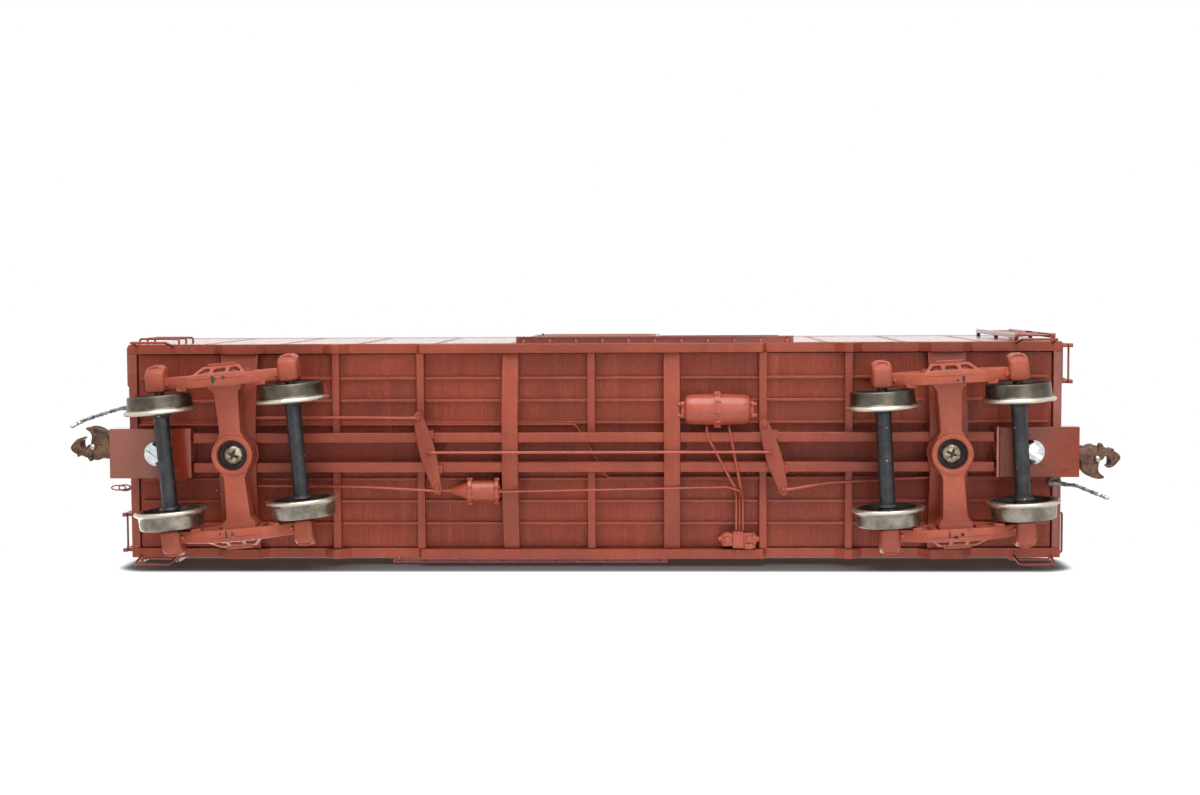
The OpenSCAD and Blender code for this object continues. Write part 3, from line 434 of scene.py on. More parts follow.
class Shape:
    """A mesh built up from closed forms. Its placement, at, is applied to what is added next."""

    def __init__(self, name, at=None):
        self.name = name
        self.verts = []
        self.faces = []
        self.at = at or Matrix.Identity(4)

    def add(self, verts, faces):
        base = len(self.verts)
        self.verts += [self.at @ Vector(v) for v in verts]
        self.faces += [tuple(base + i for i in face) for face in faces]

    def box(self, low, high):
        xs, ys, zs = zip(low, high)
        corners = [(x, y, z) for z in zs for y in ys for x in xs]
        self.add(corners, [(0, 2, 3, 1), (4, 5, 7, 6), (0, 1, 5, 4), (2, 6, 7, 3), (0, 4, 6, 2),
                           (1, 3, 7, 5)])

    def lofted(self, rings):
        """A skin over rings that have the same count of points, with a cap at each end."""
        sides = len(rings[0])
        last = (len(rings) - 1) * sides
        faces = []
        for i in range(0, last, sides):
            for k in range(sides):
                beside = (k + 1) % sides
                faces.append((i + k, i + beside, i + sides + beside, i + sides + k))
        caps = [tuple(range(sides))[::-1], tuple(range(last, last + sides))]
        self.add([point for points in rings for point in points], faces + caps)

    def prism(self, outline, low, high, plane="xy"):
        """An outline in a plane, extruded from low to high along the third axis."""
        self.lofted([[in_plane(plane, u, v, w) for u, v in outline] for w in (low, high)])

    def plate(self, outlines, low, high, soft, plane="xy", steps=1):
        """Outlines, the first solid and the rest holes in it, as a plate with soft edges."""
        curve = bpy.data.curves.new("outline", "CURVE")
        curve.dimensions = "2D"
        curve.fill_mode = "BOTH"
        curve.extrude = (high - low) / 2 - soft
        curve.bevel_depth = soft
        curve.bevel_resolution = steps
        curve.offset = -soft
        for points in outlines:
            spline = curve.splines.new("POLY")
            spline.points.add(len(points) - 1)
            spline.use_cyclic_u = True
            for target, point in zip(spline.points, points):
                target.co = (point[0], point[1], 0, 1)
        obj = bpy.data.objects.new("outline", curve)
        bpy.context.scene.collection.objects.link(obj)
        mesh = bpy.data.meshes.new_from_object(obj.evaluated_get(bpy.context.evaluated_depsgraph_get()))
        middle = (low + high) / 2
        verts = [in_plane(plane, v.co.x, v.co.y, v.co.z + middle) for v in mesh.vertices]
        self.add(verts, [tuple(p.vertices) for p in mesh.polygons])
        bpy.data.objects.remove(obj)
        bpy.data.curves.remove(curve)
        bpy.data.meshes.remove(mesh)

    def tube(self, path, radius, sides=8):
        """A round bar along a path; radius is one number, or one for each point."""
        path = [Vector(p) for p in path]
        radii = radius if isinstance(radius, (list, tuple)) else [radius] * len(path)
        rings = []
        side = None
        for i, point in enumerate(path):
            ahead = path[min(i + 1, len(path) - 1)] - path[max(i - 1, 0)]
            ahead.normalize()
            if side is None:
                side = ahead.orthogonal()
            side = (side - side.dot(ahead) * ahead).normalized()
            rings.append(ring(point, side, ahead.cross(side), radii[i], sides))
        self.lofted(rings)

    def turned(self, start, end, profile, sides=24):
        """A solid turned about the line from start to end: profile holds (share of the line, radius)."""
        start, end = Vector(start), Vector(end)
        ahead = (end - start).normalized()
        side = ahead.orthogonal().normalized()
        up = ahead.cross(side)
        self.lofted([ring(start.lerp(end, share), side, up, r, sides) for share, r in profile])

    def rivet(self, place, out, r, h):
        """A small domed head on a surface that faces out."""
        place, out = Vector(place), Vector(out)
        self.turned(place - 0.03 * out, place + h * out, [(0, r), (0.6, 0.85 * r), (1, 0.4 * r)], 6)

    def rivets(self, count, first, last, out, r, h=0.06):
        """A row of rivets from one place to another."""
        for k in range(count):
            self.rivet([a + (b - a) * k / (count - 1) for a, b in zip(first, last)], out, r, h)

    def nut(self, place, out, r, h):
        place, out = Vector(place), Vector(out)
        self.turned(place, place + h * out, [(0, r), (0.8, r), (1, 0.75 * r)], 6)

    def finish(self, body, slot, material=None, replaces=()):
        """Makes the object, which rides on a body."""
        mesh = bpy.data.meshes.new(self.name)
        mesh.from_pydata([v * MM for v in self.verts], [], self.faces)
        work = bmesh.new()
        work.from_mesh(mesh)
        bmesh.ops.remove_doubles(work, verts=work.verts, dist=0.001 * MM)
        bmesh.ops.recalc_face_normals(work, faces=work.faces)
        for face in work.faces:
            face.smooth = True
        for edge in work.edges:
            edge.smooth = edge.is_manifold and edge.calc_face_angle(0) < SHARP
        work.to_mesh(mesh)
        work.free()
        mesh.materials.append(material or SLOT_MATERIAL[slot])
        obj = bpy.data.objects.new(self.name, mesh)
        bpy.context.scene.collection.objects.link(obj)
        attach(obj, body)
        for node in replaces:
            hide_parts(node)


# ---------------------------------------------------------------- trucks

AXLE_Z = joint_place("wheelset_b_inner_spin").z
WHEELBASE = (joint_place("wheelset_b_outer_spin") - joint_place("wheelset_b_inner_spin")).length
TRUCK_LOW, TRUCK_TOP = (corner.z for corner in box_of("truck_frame_b"))
FRAME_Y = 10.59
FRAME_FACE = FRAME_Y + 1.8
BOLSTER_LOW = AXLE_Z + 0.35
RING_R, RING_HOLE_R, SCREW_HOLE_R = 3.1, 2.25, 0.95


def spring(shape, x, y, low, high):
    """A coil spring that stands between two heights."""
    radius, wire, turns, steps = 0.66, 0.18, 4, 12
    count = turns * steps
    path = []
    for k in range(count + 1):
        a = 2 * math.pi * k / steps
        path.append((x + radius * math.cos(a), y + radius * math.sin(a), low + (high - low) * k / count))
    shape.tube(path, wire, 6)


def journal_box(shape, x):
    """The axle's bearing box: a rounded block whose outer end is cut off at a slant and closed by a lid."""
    y, z = FRAME_Y, AXLE_Z
    side = rounded([(y - 0.25, z - 1.8), (y + 2.7, z - 1.85), (y + 3.5, z - 0.6), (y + 3.7, z + 0.9),
                    (y + 3.35, z + 1.8), (y - 0.25, z + 1.85)], 0.4)
    shape.plate([side], x - 1.45, x + 1.45, 0.55, "yz", 3)
    lid = Vector((x, y + 3.12, z - 1.12))
    out = Vector((0, 0.7, -0.62)).normalized()
    across = Vector((1, 0, 0))
    down = out.cross(across)
    turns = [2 * math.pi * k / 28 for k in range(29)]
    rim = [lid + 0.98 * math.cos(a) * across + 0.66 * math.sin(a) * down for a in turns]
    shape.tube(rim, 0.17, 8)
    shape.turned(lid - 0.25 * out, lid + 0.08 * out, [(0, 0.42), (0.6, 0.4), (1, 0.22)], 16)
    shape.turned((x - 0.75, y + 3.55, z + 1.35), (x + 0.75, y + 3.55, z + 1.35), [(0, 0.26), (1, 0.26)], 10)


def side_frame(shape):
    """One cast side frame: arched top chord, bottom chord, two columns and the spring seat between them."""
    a = WHEELBASE / 2
    arch = 8.45
    outline = rounded([(-a - 0.6, AXLE_Z + 1.75), (-7.6, AXLE_Z + 2.0), (-4.3, arch), (4.3, arch),
                       (7.6, AXLE_Z + 2.0), (a + 0.6, AXLE_Z + 1.75), (a + 0.6, AXLE_Z - 0.6),
                       (8.2, AXLE_Z - 1.15), (4.5, TRUCK_LOW), (-4.5, TRUCK_LOW), (-8.2, AXLE_Z - 1.15),
                       (-a - 0.6, AXLE_Z - 0.6)], 0.7, 4)
    inner_line = rounded([(-a + 0.2, AXLE_Z + 1.2), (-7.5, AXLE_Z + 1.4), (-4.2, arch - 0.6),
                          (4.2, arch - 0.6), (7.5, AXLE_Z + 1.4), (a - 0.2, AXLE_Z + 1.2),
                          (a - 0.2, AXLE_Z - 0.05), (8.0, AXLE_Z - 0.45), (4.3, TRUCK_LOW + 0.62),
                          (-4.3, TRUCK_LOW + 0.62), (-8.0, AXLE_Z - 0.45), (-a + 0.2, AXLE_Z - 0.05)], 0.6, 4)
    shape.plate([outline, inner_line], FRAME_Y, FRAME_FACE, 0.16, "xz")
    web = [(u * 0.985, v + (0.22 if v < AXLE_Z else -0.22)) for u, v in outline]
    middle = oblong(-2.9, 3.0, 2.9, 7.5, 0.4)
    windows = [rounded([(s * 3.75, 7.35), (s * 6.9, 6.65), (s * 7.1, 5.7), (s * 3.75, 3.85)], 0.6)
               for s in (-1, 1)]
    shape.plate([web, middle] + windows, FRAME_Y + 0.35, FRAME_Y + 1.25, 0.12, "xz")
    for s in (-1, 1):
        column = rounded([(s * 2.85, 2.7), (s * 3.85, 2.7), (s * 3.95, 8.0), (s * 2.85, 8.0)], 0.3)
        shape.plate([column], FRAME_Y + 0.1, FRAME_FACE + 0.1, 0.16, "xz")
        journal_box(shape, s * a)
        lug = oblong(s * 5.9 - 0.75, FRAME_Y - 0.35, s * 5.9 + 0.75, FRAME_Y + 0.25, 0.15)
        shape.plate([lug], AXLE_Z - 2.3, AXLE_Z - 1.2, 0.12)
        x, y = s * (a - 1.75), FRAME_Y + 0.9
        shape.turned((x, y, AXLE_Z - 1.5), (x, y, AXLE_Z - 0.6), [(0, 0.28), (0.3, 0.4), (1, 0.4)], 10)
        for z in (4.2, 6.9):
            shape.nut((s * 3.4, FRAME_FACE + 0.05, z), (0, 1, 0), 0.3, 0.3)
    spring_seat(shape)
    bolster_end = [(-2.6, 5.35), (2.6, 5.35), (2.6, 7.4), (1.9, 7.75), (-1.9, 7.75), (-2.6, 7.4)]
    shape.plate([rounded(bolster_end, 0.3)], FRAME_Y - 0.5, FRAME_FACE + 0.75, 0.2, "xz")
    for x in (-1.2, 1.2):
        shape.nut((x, FRAME_FACE + 0.72, 6.5), (0, 1, 0), 0.36, 0.2)
    for x in (-1.75, 0, 1.75):
        spring(shape, x, FRAME_Y + 1.15, 3.0, 5.4)


def spring_seat(shape):
    """The outer slope of the spring seat, with three open pockets under a rail."""
    y, low = FRAME_FACE - 0.12, TRUCK_LOW
    reach, rise = 1.3, 2.7
    slope = Vector((0, reach, rise))
    length = slope.length
    slope.normalize()
    across = Vector((1, 0, 0))
    tilt = Matrix((across, slope, across.cross(slope))).transposed().to_4x4()
    standing = shape.at
    shape.at = standing @ Matrix.Translation((0, y, low)) @ tilt
    face = rounded([(-4.2, 0.05), (4.2, 0.05), (2.75, length), (-2.75, length)], 0.35)
    pockets = [rounded([(-3.35, 0.75), (-1.5, 0.75), (-1.5, 2.4), (-2.4, 2.4)], 0.45),
               rounded([(-0.95, 0.85), (0.95, 0.85), (0.75, 2.25), (-0.75, 2.25)], 0.45),
               rounded([(1.5, 0.75), (3.35, 0.75), (2.4, 2.4), (1.5, 2.4)], 0.45)]
    shape.plate([face] + pockets, 0, 0.5, 0.13)
    shape.plate([[(-3.6, 0.2), (3.6, 0.2), (2.5, length - 0.2), (-2.5, length - 0.2)]], 0.62, 0.85, 0.02)
    for x in (-1.22, 1.2):
        shape.box((x - 0.14, 0.2, 0.3), (x + 0.14, length - 0.2, 0.7))
    shape.at = standing
    wedge = [(y - 0.4, low + 0.7), (y + reach - 0.9, low + rise - 0.1), (y - 0.4, low + rise - 0.1)]
    shape.prism(wedge, -2.6, 2.6, "yz")
    foot = rounded([(-4.3, y - 0.6), (4.3, y - 0.6), (3.6, y + 0.2), (-3.6, y + 0.2)], 0.2)
    shape.plate([foot], low - 0.01, low + 0.5, 0.12)
    rail = oblong(-2.0, y + reach - 0.1, 2.0, y + reach + 0.32, 0.12)
    shape.plate([rail], low + rise + 0.1, low + rise + 0.5, 0.1)


def bolster(shape):
    """The truck's cross member, with the round centre bearing at its middle."""
    low = BOLSTER_LOW
    end_y = FRAME_Y + 0.15
    half = []
    for s in (1, -1):
        half += [(s * 1.58, -s * 3.4), (s * 2.75, -s * 1.4), (s * 2.75, s * 1.4), (s * 1.58, s * 3.4),
                 (s * 1.85, s * (end_y - 1.25)), (s * 2.8, s * (end_y - 0.25)), (s * 2.8, s * end_y),
                 (-s * 2.8, s * end_y), (-s * 2.8, s * (end_y - 0.25)), (-s * 1.85, s * (end_y - 1.25))]
    outline = rounded(half, 0.35)
    shape.plate([outline, circle(RING_HOLE_R)], low, low + 1.1, 0.2)
    shape.plate([outline, circle(SCREW_HOLE_R)], low + 0.9, TRUCK_TOP - 0.3, 0.2)
    shape.plate([circle(RING_R, 56), circle(RING_HOLE_R, 56)], low - 0.25, low + 1.1, 0.22)
    shape.plate([circle(RING_R, 56), circle(SCREW_HOLE_R)], low + 1.0, TRUCK_TOP, 0.1)


def bolster_shade(shape):
    """Painted shade inside the bolster's centre ring: a near-black lining on its wall and a floor around the
    screw.
    """
    low = BOLSTER_LOW
    wall = [circle(RING_HOLE_R - 0.02, 48), circle(RING_HOLE_R - 0.14, 48)]
    shape.plate(wall, low + 0.12, low + 0.95, 0.02)
    shape.plate([circle(RING_HOLE_R - 0.05, 48), circle(SCREW_HOLE_R, 48)], low + 0.86, low + 0.93, 0.01)


def rub_mark(shape, x, y, wide, tall):
    """A dark rubbed patch with a ragged outline on a side frame's lowest flange."""
    outline = []
    for k in range(9):
        a = 2 * math.pi * k / 9
        ragged = 0.5 + 0.11 * math.sin(2.3 * k + 5 * x) + 0.08 * math.sin(4.1 * k + 3 * y)
        outline.append((x + wide * ragged * math.cos(a), y + tall * ragged * math.sin(a)))
    shape.prism(outline, TRUCK_LOW - 0.015, TRUCK_LOW + 0.05)


# Each frame's rubbed patches: place along it, place out from its inner face, and the two sizes
RUB_MARKS = {
    "b": ([(0.75, 1.05, 0.75, 1.1), (-0.75, 1.25, 0.6, 0.6)],
          [(-1.1, 0.75, 0.35, 1.2), (-0.15, 0.75, 0.55, 0.6), (-2.0, 0.6, 0.3, 0.4)]),
    "a": ([(0.3, 0.85, 0.5, 0.6), (-0.7, 1.2, 0.9, 0.45), (-1.55, 0.8, 0.35, 1.2), (1.3, 0.25, 0.3, 0.3)],
          [(-1.5, 0.6, 0.45, 1.1), (-0.65, 0.45, 0.4, 0.4)]),
}

for end, side in (("b", 0.0), ("a", math.pi)):
    axis = JOINTS[f"wheelset_{end}_inner_spin"]["axis"]
    turn = math.atan2(-axis[0], axis[1]) + side
    middle = Matrix.Translation((joint_place(f"truck_{end}_swivel").x, 0, 0))
    standing = middle @ Matrix.Rotation(turn, 4, "Z")
    casting = Shape(f"truck_casting_{end}", standing)
    bolster(casting)
    for flip in half_turn():
        casting.at = standing @ flip
        side_frame(casting)
    casting.finish(f"truck_{end}", "truck_plastic", replaces=[f"truck_frame_{end}"])
    # Painted shade: a dark lining and floor in each truck's centre ring.
    painted_ring_shade = Shape(f"ring_painted_shade_{end}", standing)
    bolster_shade(painted_ring_shade)
    painted_ring_shade.finish(f"truck_{end}", "truck_plastic", PAINTED_SHADE)
    marks = Shape(f"rub_marks_{end}")
    for flip, spots in zip(half_turn(), RUB_MARKS[end]):
        marks.at = standing @ flip
        for x, y, wide, tall in spots:
            rub_mark(marks, x, FRAME_Y + y, wide, tall)
    marks.finish(f"truck_{end}", "truck_plastic", RUBBED_BLACK)

# ---------------------------------------------------------------- couplers and hoses

BOX_FRONT = box_of("box_lids")[1].x
COUPLER_X, _, COUPLER_Z = joint_place("coupler_b_swing")

# Outlines from below, measured out from the front of the draft box
HEAD = [(-0.6, -0.62), (0.2, -0.55), (0.6, -0.7), (0.95, -0.6), (1.3, -0.82), (1.8, -1.0), (2.35, -0.98),
        (2.6, -0.75), (2.85, 0.5), (2.95, 1.4), (2.86, 1.95), (2.78, 2.4), (2.78, 2.75), (2.9, 3.07),
        (3.14, 3.36), (3.52, 3.6), (3.68, 3.79), (3.6, 3.94), (3.2, 4.06), (2.69, 4.06), (2.16, 3.96),
        (1.58, 3.74), (1.1, 3.41), (0.77, 3.02), (0.43, 2.6), (0.22, 2.0), (0.1, 1.2), (-0.6, 0.9)]
NOSE = [(2.7, -0.74), (2.76, -1.04), (2.97, -1.16), (3.2, -0.9), (3.4, -0.62), (3.79, -0.55), (4.08, -0.4),
        (4.3, -0.28), (4.6, -0.34), (4.84, -0.46), (4.94, -0.28), (5.08, -0.1), (5.47, 0.1), (5.85, 0.43),
        (6.04, 0.82), (6.0, 1.08), (5.66, 1.53), (5.32, 1.92), (4.99, 2.21), (4.56, 2.39), (4.17, 2.39),
        (4.06, 2.22), (4.32, 2.1), (4.48, 1.95), (4.56, 1.58), (4.54, 1.2), (4.38, 0.84), (4.08, 0.6),
        (3.7, 0.68), (3.42, 0.96), (3.22, 1.25), (2.95, 1.3), (2.72, 0.6)]


def coupler_head(shape, shift):
    """The coupler's shank and head, whose guard arm sweeps forward."""
    z = COUPLER_Z
    x = BOX_FRONT + shift
    flange = [(x + u, v) for u, v in HEAD]
    shape.plate([flange], z - 1.45, z - 0.92, 0.14, "xy", 2)
    shape.plate([flange], z + 0.92, z + 1.45, 0.14, "xy", 2)
    inner = [(x + (u - 1.6) * 0.93 + 1.45, (v - 1.4) * 0.93 + 1.35) for u, v in HEAD]
    shape.plate([inner], z - 0.95, z + 0.95, 0.06)
    ridge = ((0.35, 1.2, 1.42), (1.1, 1.5, 1.5), (1.9, 1.62, 1.5), (2.65, 1.75, 1.42))
    shape.tube([(x + u, v, z - down) for u, v, down in ridge], [0.12, 0.16, 0.16, 0.1], 8)
    rim = ((0.6, 2.6), (1.2, 3.25), (1.9, 3.65), (2.7, 3.83), (3.4, 3.78))
    shape.tube([(x + u, v, z - 1.42) for u, v in rim], [0.1, 0.15, 0.17, 0.14, 0.08], 8)
    shape.box((COUPLER_X + 1.6, -0.8, z - 1), (x + 0.8, 0.8, z + 1))
    shape.plate([circle(1.95, 36, COUPLER_X), circle(1.35, 36, COUPLER_X)], z - 1, z + 1, 0.08)


def knuckle_nose(shape, shift):
    """The coupler's hooked knuckle, with rivet heads on its lower face."""
    z = COUPLER_Z
    x = BOX_FRONT + shift
    shape.plate([[(x + u, v) for u, v in NOSE]], z - 1.5, z - 0.35, 0.16, "xy", 2)
    narrow = [(x + 4.95 + (u - 4.95) * (0.74 if u < 4.95 else 0.96), v) for u, v in NOSE]
    shape.plate([narrow], z - 0.6, z + 1.5, 0.12)
    for u, v, r in ((2.98, -0.95, 0.2), (4.82, -0.3, 0.2), (5.35, 1.0, 0.34), (3.5, 0.05, 0.3)):
        shape.turned((x + u, v, z - 1.42), (x + u, v, z - 1.62), [(0, r), (0.5, r), (1, 0.6 * r)], 12)


# Shift: how far each head stands out past the outline's place
for end, flip, shift in zip("ba", half_turn(), (0.2, 0.15)):
    head = Shape(f"coupler_head_{end}", flip)
    coupler_head(head, shift)
    head.finish(f"coupler_{end}", "coupler_metal", replaces=[f"coupler_{end}"])
    nose = Shape(f"knuckle_nose_{end}", flip)
    knuckle_nose(nose, shift)
    nose.finish(f"knuckle_{end}", "coupler_metal", replaces=[f"knuckle_{end}"])
    pin = Shape(f"trip_pin_{end}", flip)
    at = Vector((BOX_FRONT + 2.7, 1.02, COUPLER_Z - 1.4))
    pin.turned(at, at - Vector((0, 0, 0.75)), [(0, 0.5), (0.55, 0.5), (0.8, 0.42), (1, 0.22)], 18)
    pin.finish(f"coupler_{end}", "screw_metal", PIN_METAL)


def screw_cross(shape, x):
    """Painted shade in the cross recess of a truck's screw head: a dark cross and a dark centre disc."""
    head = NODES["screws"]
    spots = [head.matrix_world @ v.co / MM for v in head.data.vertices]
    low = min(p.z for p in spots if abs(p.x - x) < 3)
    shape.at = Matrix.Translation((x, 0, low)) @ Matrix.Rotation(math.radians(28), 4, "Z")
    for u, v in ((0.68, 0.15), (0.15, 0.68)):
        shape.plate([oblong(-u, -v, u, v, 0.08)], -0.03, 0.05, 0.01)
    shape.turned((0, 0, -0.035), (0, 0, 0.1), [(0, 0.2), (1, 0.3)], 12)


crosses = Shape("screw_crosses")
for end in "ab":
    screw_cross(crosses, joint_place(f"truck_{end}_swivel").x)
# Painted shade: the crosses are dark where the screws' recesses lie in shade.
crosses.finish("body", "screw_metal", PAINTED_SHADE)

lids = Shape("draft_box_lids")
LID_LOW, LID_HIGH = box_of("box_lids")
# The brake end's lid is the shorter one, and reaches farther out
for flip, front, length in zip(half_turn(), (0.2, 0.05), (9.5, 11.75)):
    lids.at = flip
    x = BOX_FRONT + front
    lids.plate([oblong(x - length, LID_LOW.y, x, LID_HIGH.y, 0.15)], LID_LOW.z, LID_HIGH.z, 0.07)
lids.finish("body", "underframe_paint", LID_PAINT, replaces=["box_lids"])
HOSE_Z = SILL_LOW.z + 0.7


def air_hose(shape, y, path):
    """A lumpy moulded hose from the angle cock down to its metal coupling."""
    x, z = HALF_L - 1.6, HOSE_Z
    cock = [(0, 0.36), (0.1, 0.46), (0.4, 0.46), (0.45, 0.34), (0.8, 0.36), (0.85, 0.46), (1, 0.4)]
    shape.turned((x - 0.6, y, z), (x + 1.4, y, z), cock, 14)
    shape.tube([(x - 0.1, y, z), (x - 0.1, y, FLOOR_Z)], 0.3, 10)
    shape.box((x - 0.35, y - 0.8, z - 0.12), (x + 0.1, y - 0.3, z + 0.12))
    fine = []
    for a, b in zip(path, path[1:]):
        steps = max(1, round((b - a).length / 0.22))
        fine += [a.lerp(b, k / steps) for k in range(steps)]
    fine.append(path[-1])
    radii = [0.25 + 0.06 * math.sin(2.1 * i) + 0.03 * math.sin(0.8 * i + 1) for i in range(len(fine))]
    radii[:7] = [0.34] * 7
    shape.tube(fine, radii, 10)


def glad_hand(shape, path):
    """The hose's coupling head, in line with the hose's end."""
    tip = path[-1]
    back = (path[-2] - tip).normalized()
    profile = [(0, 0.14), (0.08, 0.26), (0.35, 0.3), (0.45, 0.22), (0.9, 0.25), (1, 0.2)]
    shape.turned(tip - 0.7 * back, tip + 1.1 * back, profile, 12)


hoses = Shape("air_hose_pair")
hands = Shape("hose_couplings")
# For each end, y of the angle cock, then the hose's path: out from the sill's end, y, down from the cock
HOSES = [(6.75, [(-0.4, 6.75, 0), (0.7, 6.75, 0.3), (1.8, 6.4, 2.4), (4.9, 5.35, 4.6), (6.4, 4.55, 5.3)]),
         (4.95, [(-0.4, 4.95, 0), (0.5, 5.15, 0.3), (1.4, 5.0, 2.4), (3.2, 5.75, 4.4), (5.0, 6.45, 5.3)])]
for flip, (y, path) in zip(half_turn(), HOSES):
    path = bent([(HALF_L + out, across, HOSE_Z - down) for out, across, down in path], 1.2, 8)
    hoses.at = flip
    air_hose(hoses, y, path)
    hands.at = flip
    glad_hand(hands, path)
hoses.finish("body", "hose_plastic", replaces=["air_hoses"])
hands.finish("body", "screw_metal", PIN_METAL)

# ---------------------------------------------------------------- underframe details


def floor_boards():
    """Narrow cross boards under the floor, with a fine groove at each joint."""
    boards = Shape("floor_boards")
    pitch = 0.46
    edge = 0.6
    count = int((FLOOR_HIGH.x - FLOOR_LOW.x - 2 * edge) / pitch)
    start = -count * pitch / 2
    for i in range(count):
        x = start + i * pitch
        thick = 0.04 + 0.02 * math.sin(i * 2.4) * math.sin(i * 0.7)
        board = [(x + 0.02, FLOOR_Z + 0.02), (x + 0.05, FLOOR_Z - thick),
                 (x + pitch - 0.05, FLOOR_Z - thick), (x + pitch - 0.02, FLOOR_Z + 0.02)]
        boards.prism(board, FLOOR_LOW.y + 0.3, FLOOR_HIGH.y - 0.3, "xz")
    boards.finish("body", "underframe_paint", FLOOR_PAINT)


floor_boards()

BEARER_LOW, BEARER_HIGH = box_of("crossbearers")
RES_LOW, RES_HIGH = box_of("reservoir")
CYL_LOW, CYL_HIGH = box_of("brake_cylinder")
VALVE_LOW, VALVE_HIGH = box_of("brake_valve")
BEARER_HALF = 2.45 / 2


def underframe_plates():
    """Riveted cover plates over the centre sill, one at each crossbearer."""
    plates = Shape("cover_plates")
    low = BEARER_LOW.z
    half = BEARER_HALF - 0.03
    for s in (-1, 1):
        x = s * (BEARER_HIGH.x - BEARER_HALF)
        cover = oblong(x - half, -4.85, x + half, 4.85, 0.1)
        plates.plate([cover], low - 0.1, low + 0.08, 0.04)
        for y in (-2.6, -1.85, 1.85, 2.6):
            for dx in (-0.75, 0.75):
                plates.rivet((x + dx, y, low - 0.1), (0, 0, -1), 0.13, 0.07)
    plates.finish("body", "underframe_paint")


underframe_plates()

BEARER_X = BEARER_HIGH.x - BEARER_HALF
GEAR_Z = BEARER_LOW.z - 0.28
LEVER_PIN = 0.3
# Each lever's two ends, and its half width at shares of the way along it
LEVERS = [((BEARER_X + 13.7, 5.3), (BEARER_X + 10.9, -5.55)),
          ((-BEARER_X - 13.8, 4.15), (-BEARER_X - 16.7, -5.8))]
LEVER_EDGE = [(-0.075, 0.32), (-0.045, 0.62), (0.0, 0.74), (0.14, 0.98), (0.4, 1.22), (0.6, 1.2),
              (0.86, 0.86), (1.0, 0.68), (1.04, 0.55), (1.065, 0.28)]
ROD_Z = GEAR_Z - 0.46
TIE_Z = box_of("cross_ties")[0].z


def on_lever(lever, y):
    """A lever's x at a given y."""
    (x0, y0), (x1, y1) = lever
    return x0 + (x1 - x0) * (y - y0) / (y1 - y0)


def brake_levers():
    """Two levers across the centre sill, with their pins and guides, and the hand brake's chain."""
    shape = Shape("brake_lever_pair")
    for lever in LEVERS:
        (x0, y0), (x1, y1) = lever
        start = Vector((x0, y0))
        down = Vector((x1 - x0, y1 - y0))
        length = down.length
        down.normalize()
        side = Vector((down.y, -down.x))
        outline = [start + down * share * length + side * width for share, width in LEVER_EDGE]
        outline += [start + down * share * length - side * width for share, width in LEVER_EDGE[::-1]]
        shape.plate([rounded(outline, 0.5, 3)], GEAR_Z - 0.28, GEAR_Z + 0.25, 0.13, "xy", 2)
        for y in (2.75, -2.45):
            x = on_lever(lever, y) - 1.25
            guide = oblong(x - 0.35, y - 0.62, x + 0.5, y + 0.62, 0.12)
            shape.plate([guide], GEAR_Z - 0.12, GEAR_Z + 0.7, 0.08)
        for y, inward in ((y0 - 0.1, 0), (0.1, LEVER_PIN), (y1 + 0.3, 0)):
            x = on_lever(lever, y) - math.copysign(inward, x0)
            pin = [(0, 0.42), (0.6, 0.42), (0.85, 0.34), (1, 0.16)]
            shape.turned((x, y, GEAR_Z - 0.2), (x, y, ROD_Z - 0.3), pin, 16)
    turns = [2 * math.pi * k / 24 for k in range(25)]
    for x, wide, high in ((0.95, 0.95, 0.45), (1.95, 1.1, 0.36)):
        link = [(HALF_L + x + wide * math.cos(a), -5.6 + high * math.sin(a), WALL_Z - 1.5) for a in turns]
        shape.tube(link, 0.1, 8)
    shape.box((HALF_L - 0.3, -5.8, WALL_Z - 1.62), (HALF_L + 0.3, -5.4, WALL_Z - 1.38))
    shape.finish("body", "underframe_paint", replaces=["brake_levers"])


def brake_rods():
    """Round rods from the levers to the body bolsters, and the one that joins the levers."""
    shape = Shape("brake_rod_set")
    end_x = box_of("body_bolsters")[1].x - 5.6
    rise_x = BEARER_X + 23.4
    rise_z = TIE_Z - 0.3
    first, second = LEVERS
    link = (on_lever(first, 0.1) - LEVER_PIN, on_lever(second, 0.1) + LEVER_PIN)
    shape.tube([(x, 0.1, ROD_Z) for x in link], 0.21, 14)
    # Each rod's side, where it leaves its lever, its y at four places and its radius
    for s, x, ys, radius in ((1, first[0][0], (5.3, 5.3, 5.2, 5.2), 0.23),
                             (1, first[1][0], (-5.75, -5.6, -5.3, -5.2), 0.19),
                             (-1, second[1][0], (-5.6, -5.4, -4.8, -4), 0.21)):
        places = ((x - s * 0.2, ROD_Z), (x + s * 1.5, ROD_Z), (s * rise_x, rise_z), (s * end_x, rise_z))
        shape.tube([(px, y, z) for (px, z), y in zip(places, ys)], radius, 14)
    shape.finish("body", "underframe_paint", GEAR_PAINT, replaces=["brake_rods"])


def bolts(shape, center, radius, count, turn, reach, r):
    """A ring of bolts along X through a flange, with a head at both ends."""
    x, y, z = center
    half = Vector((reach, 0, 0))
    for k in range(count):
        a = 2 * math.pi * (k + turn) / count
        place = Vector((x, y + radius * math.cos(a), z + radius * math.sin(a)))
        shape.turned(place - half, place + half, [(0, r - 0.08), (0.15, r), (0.85, r), (1, r - 0.08)], 8)


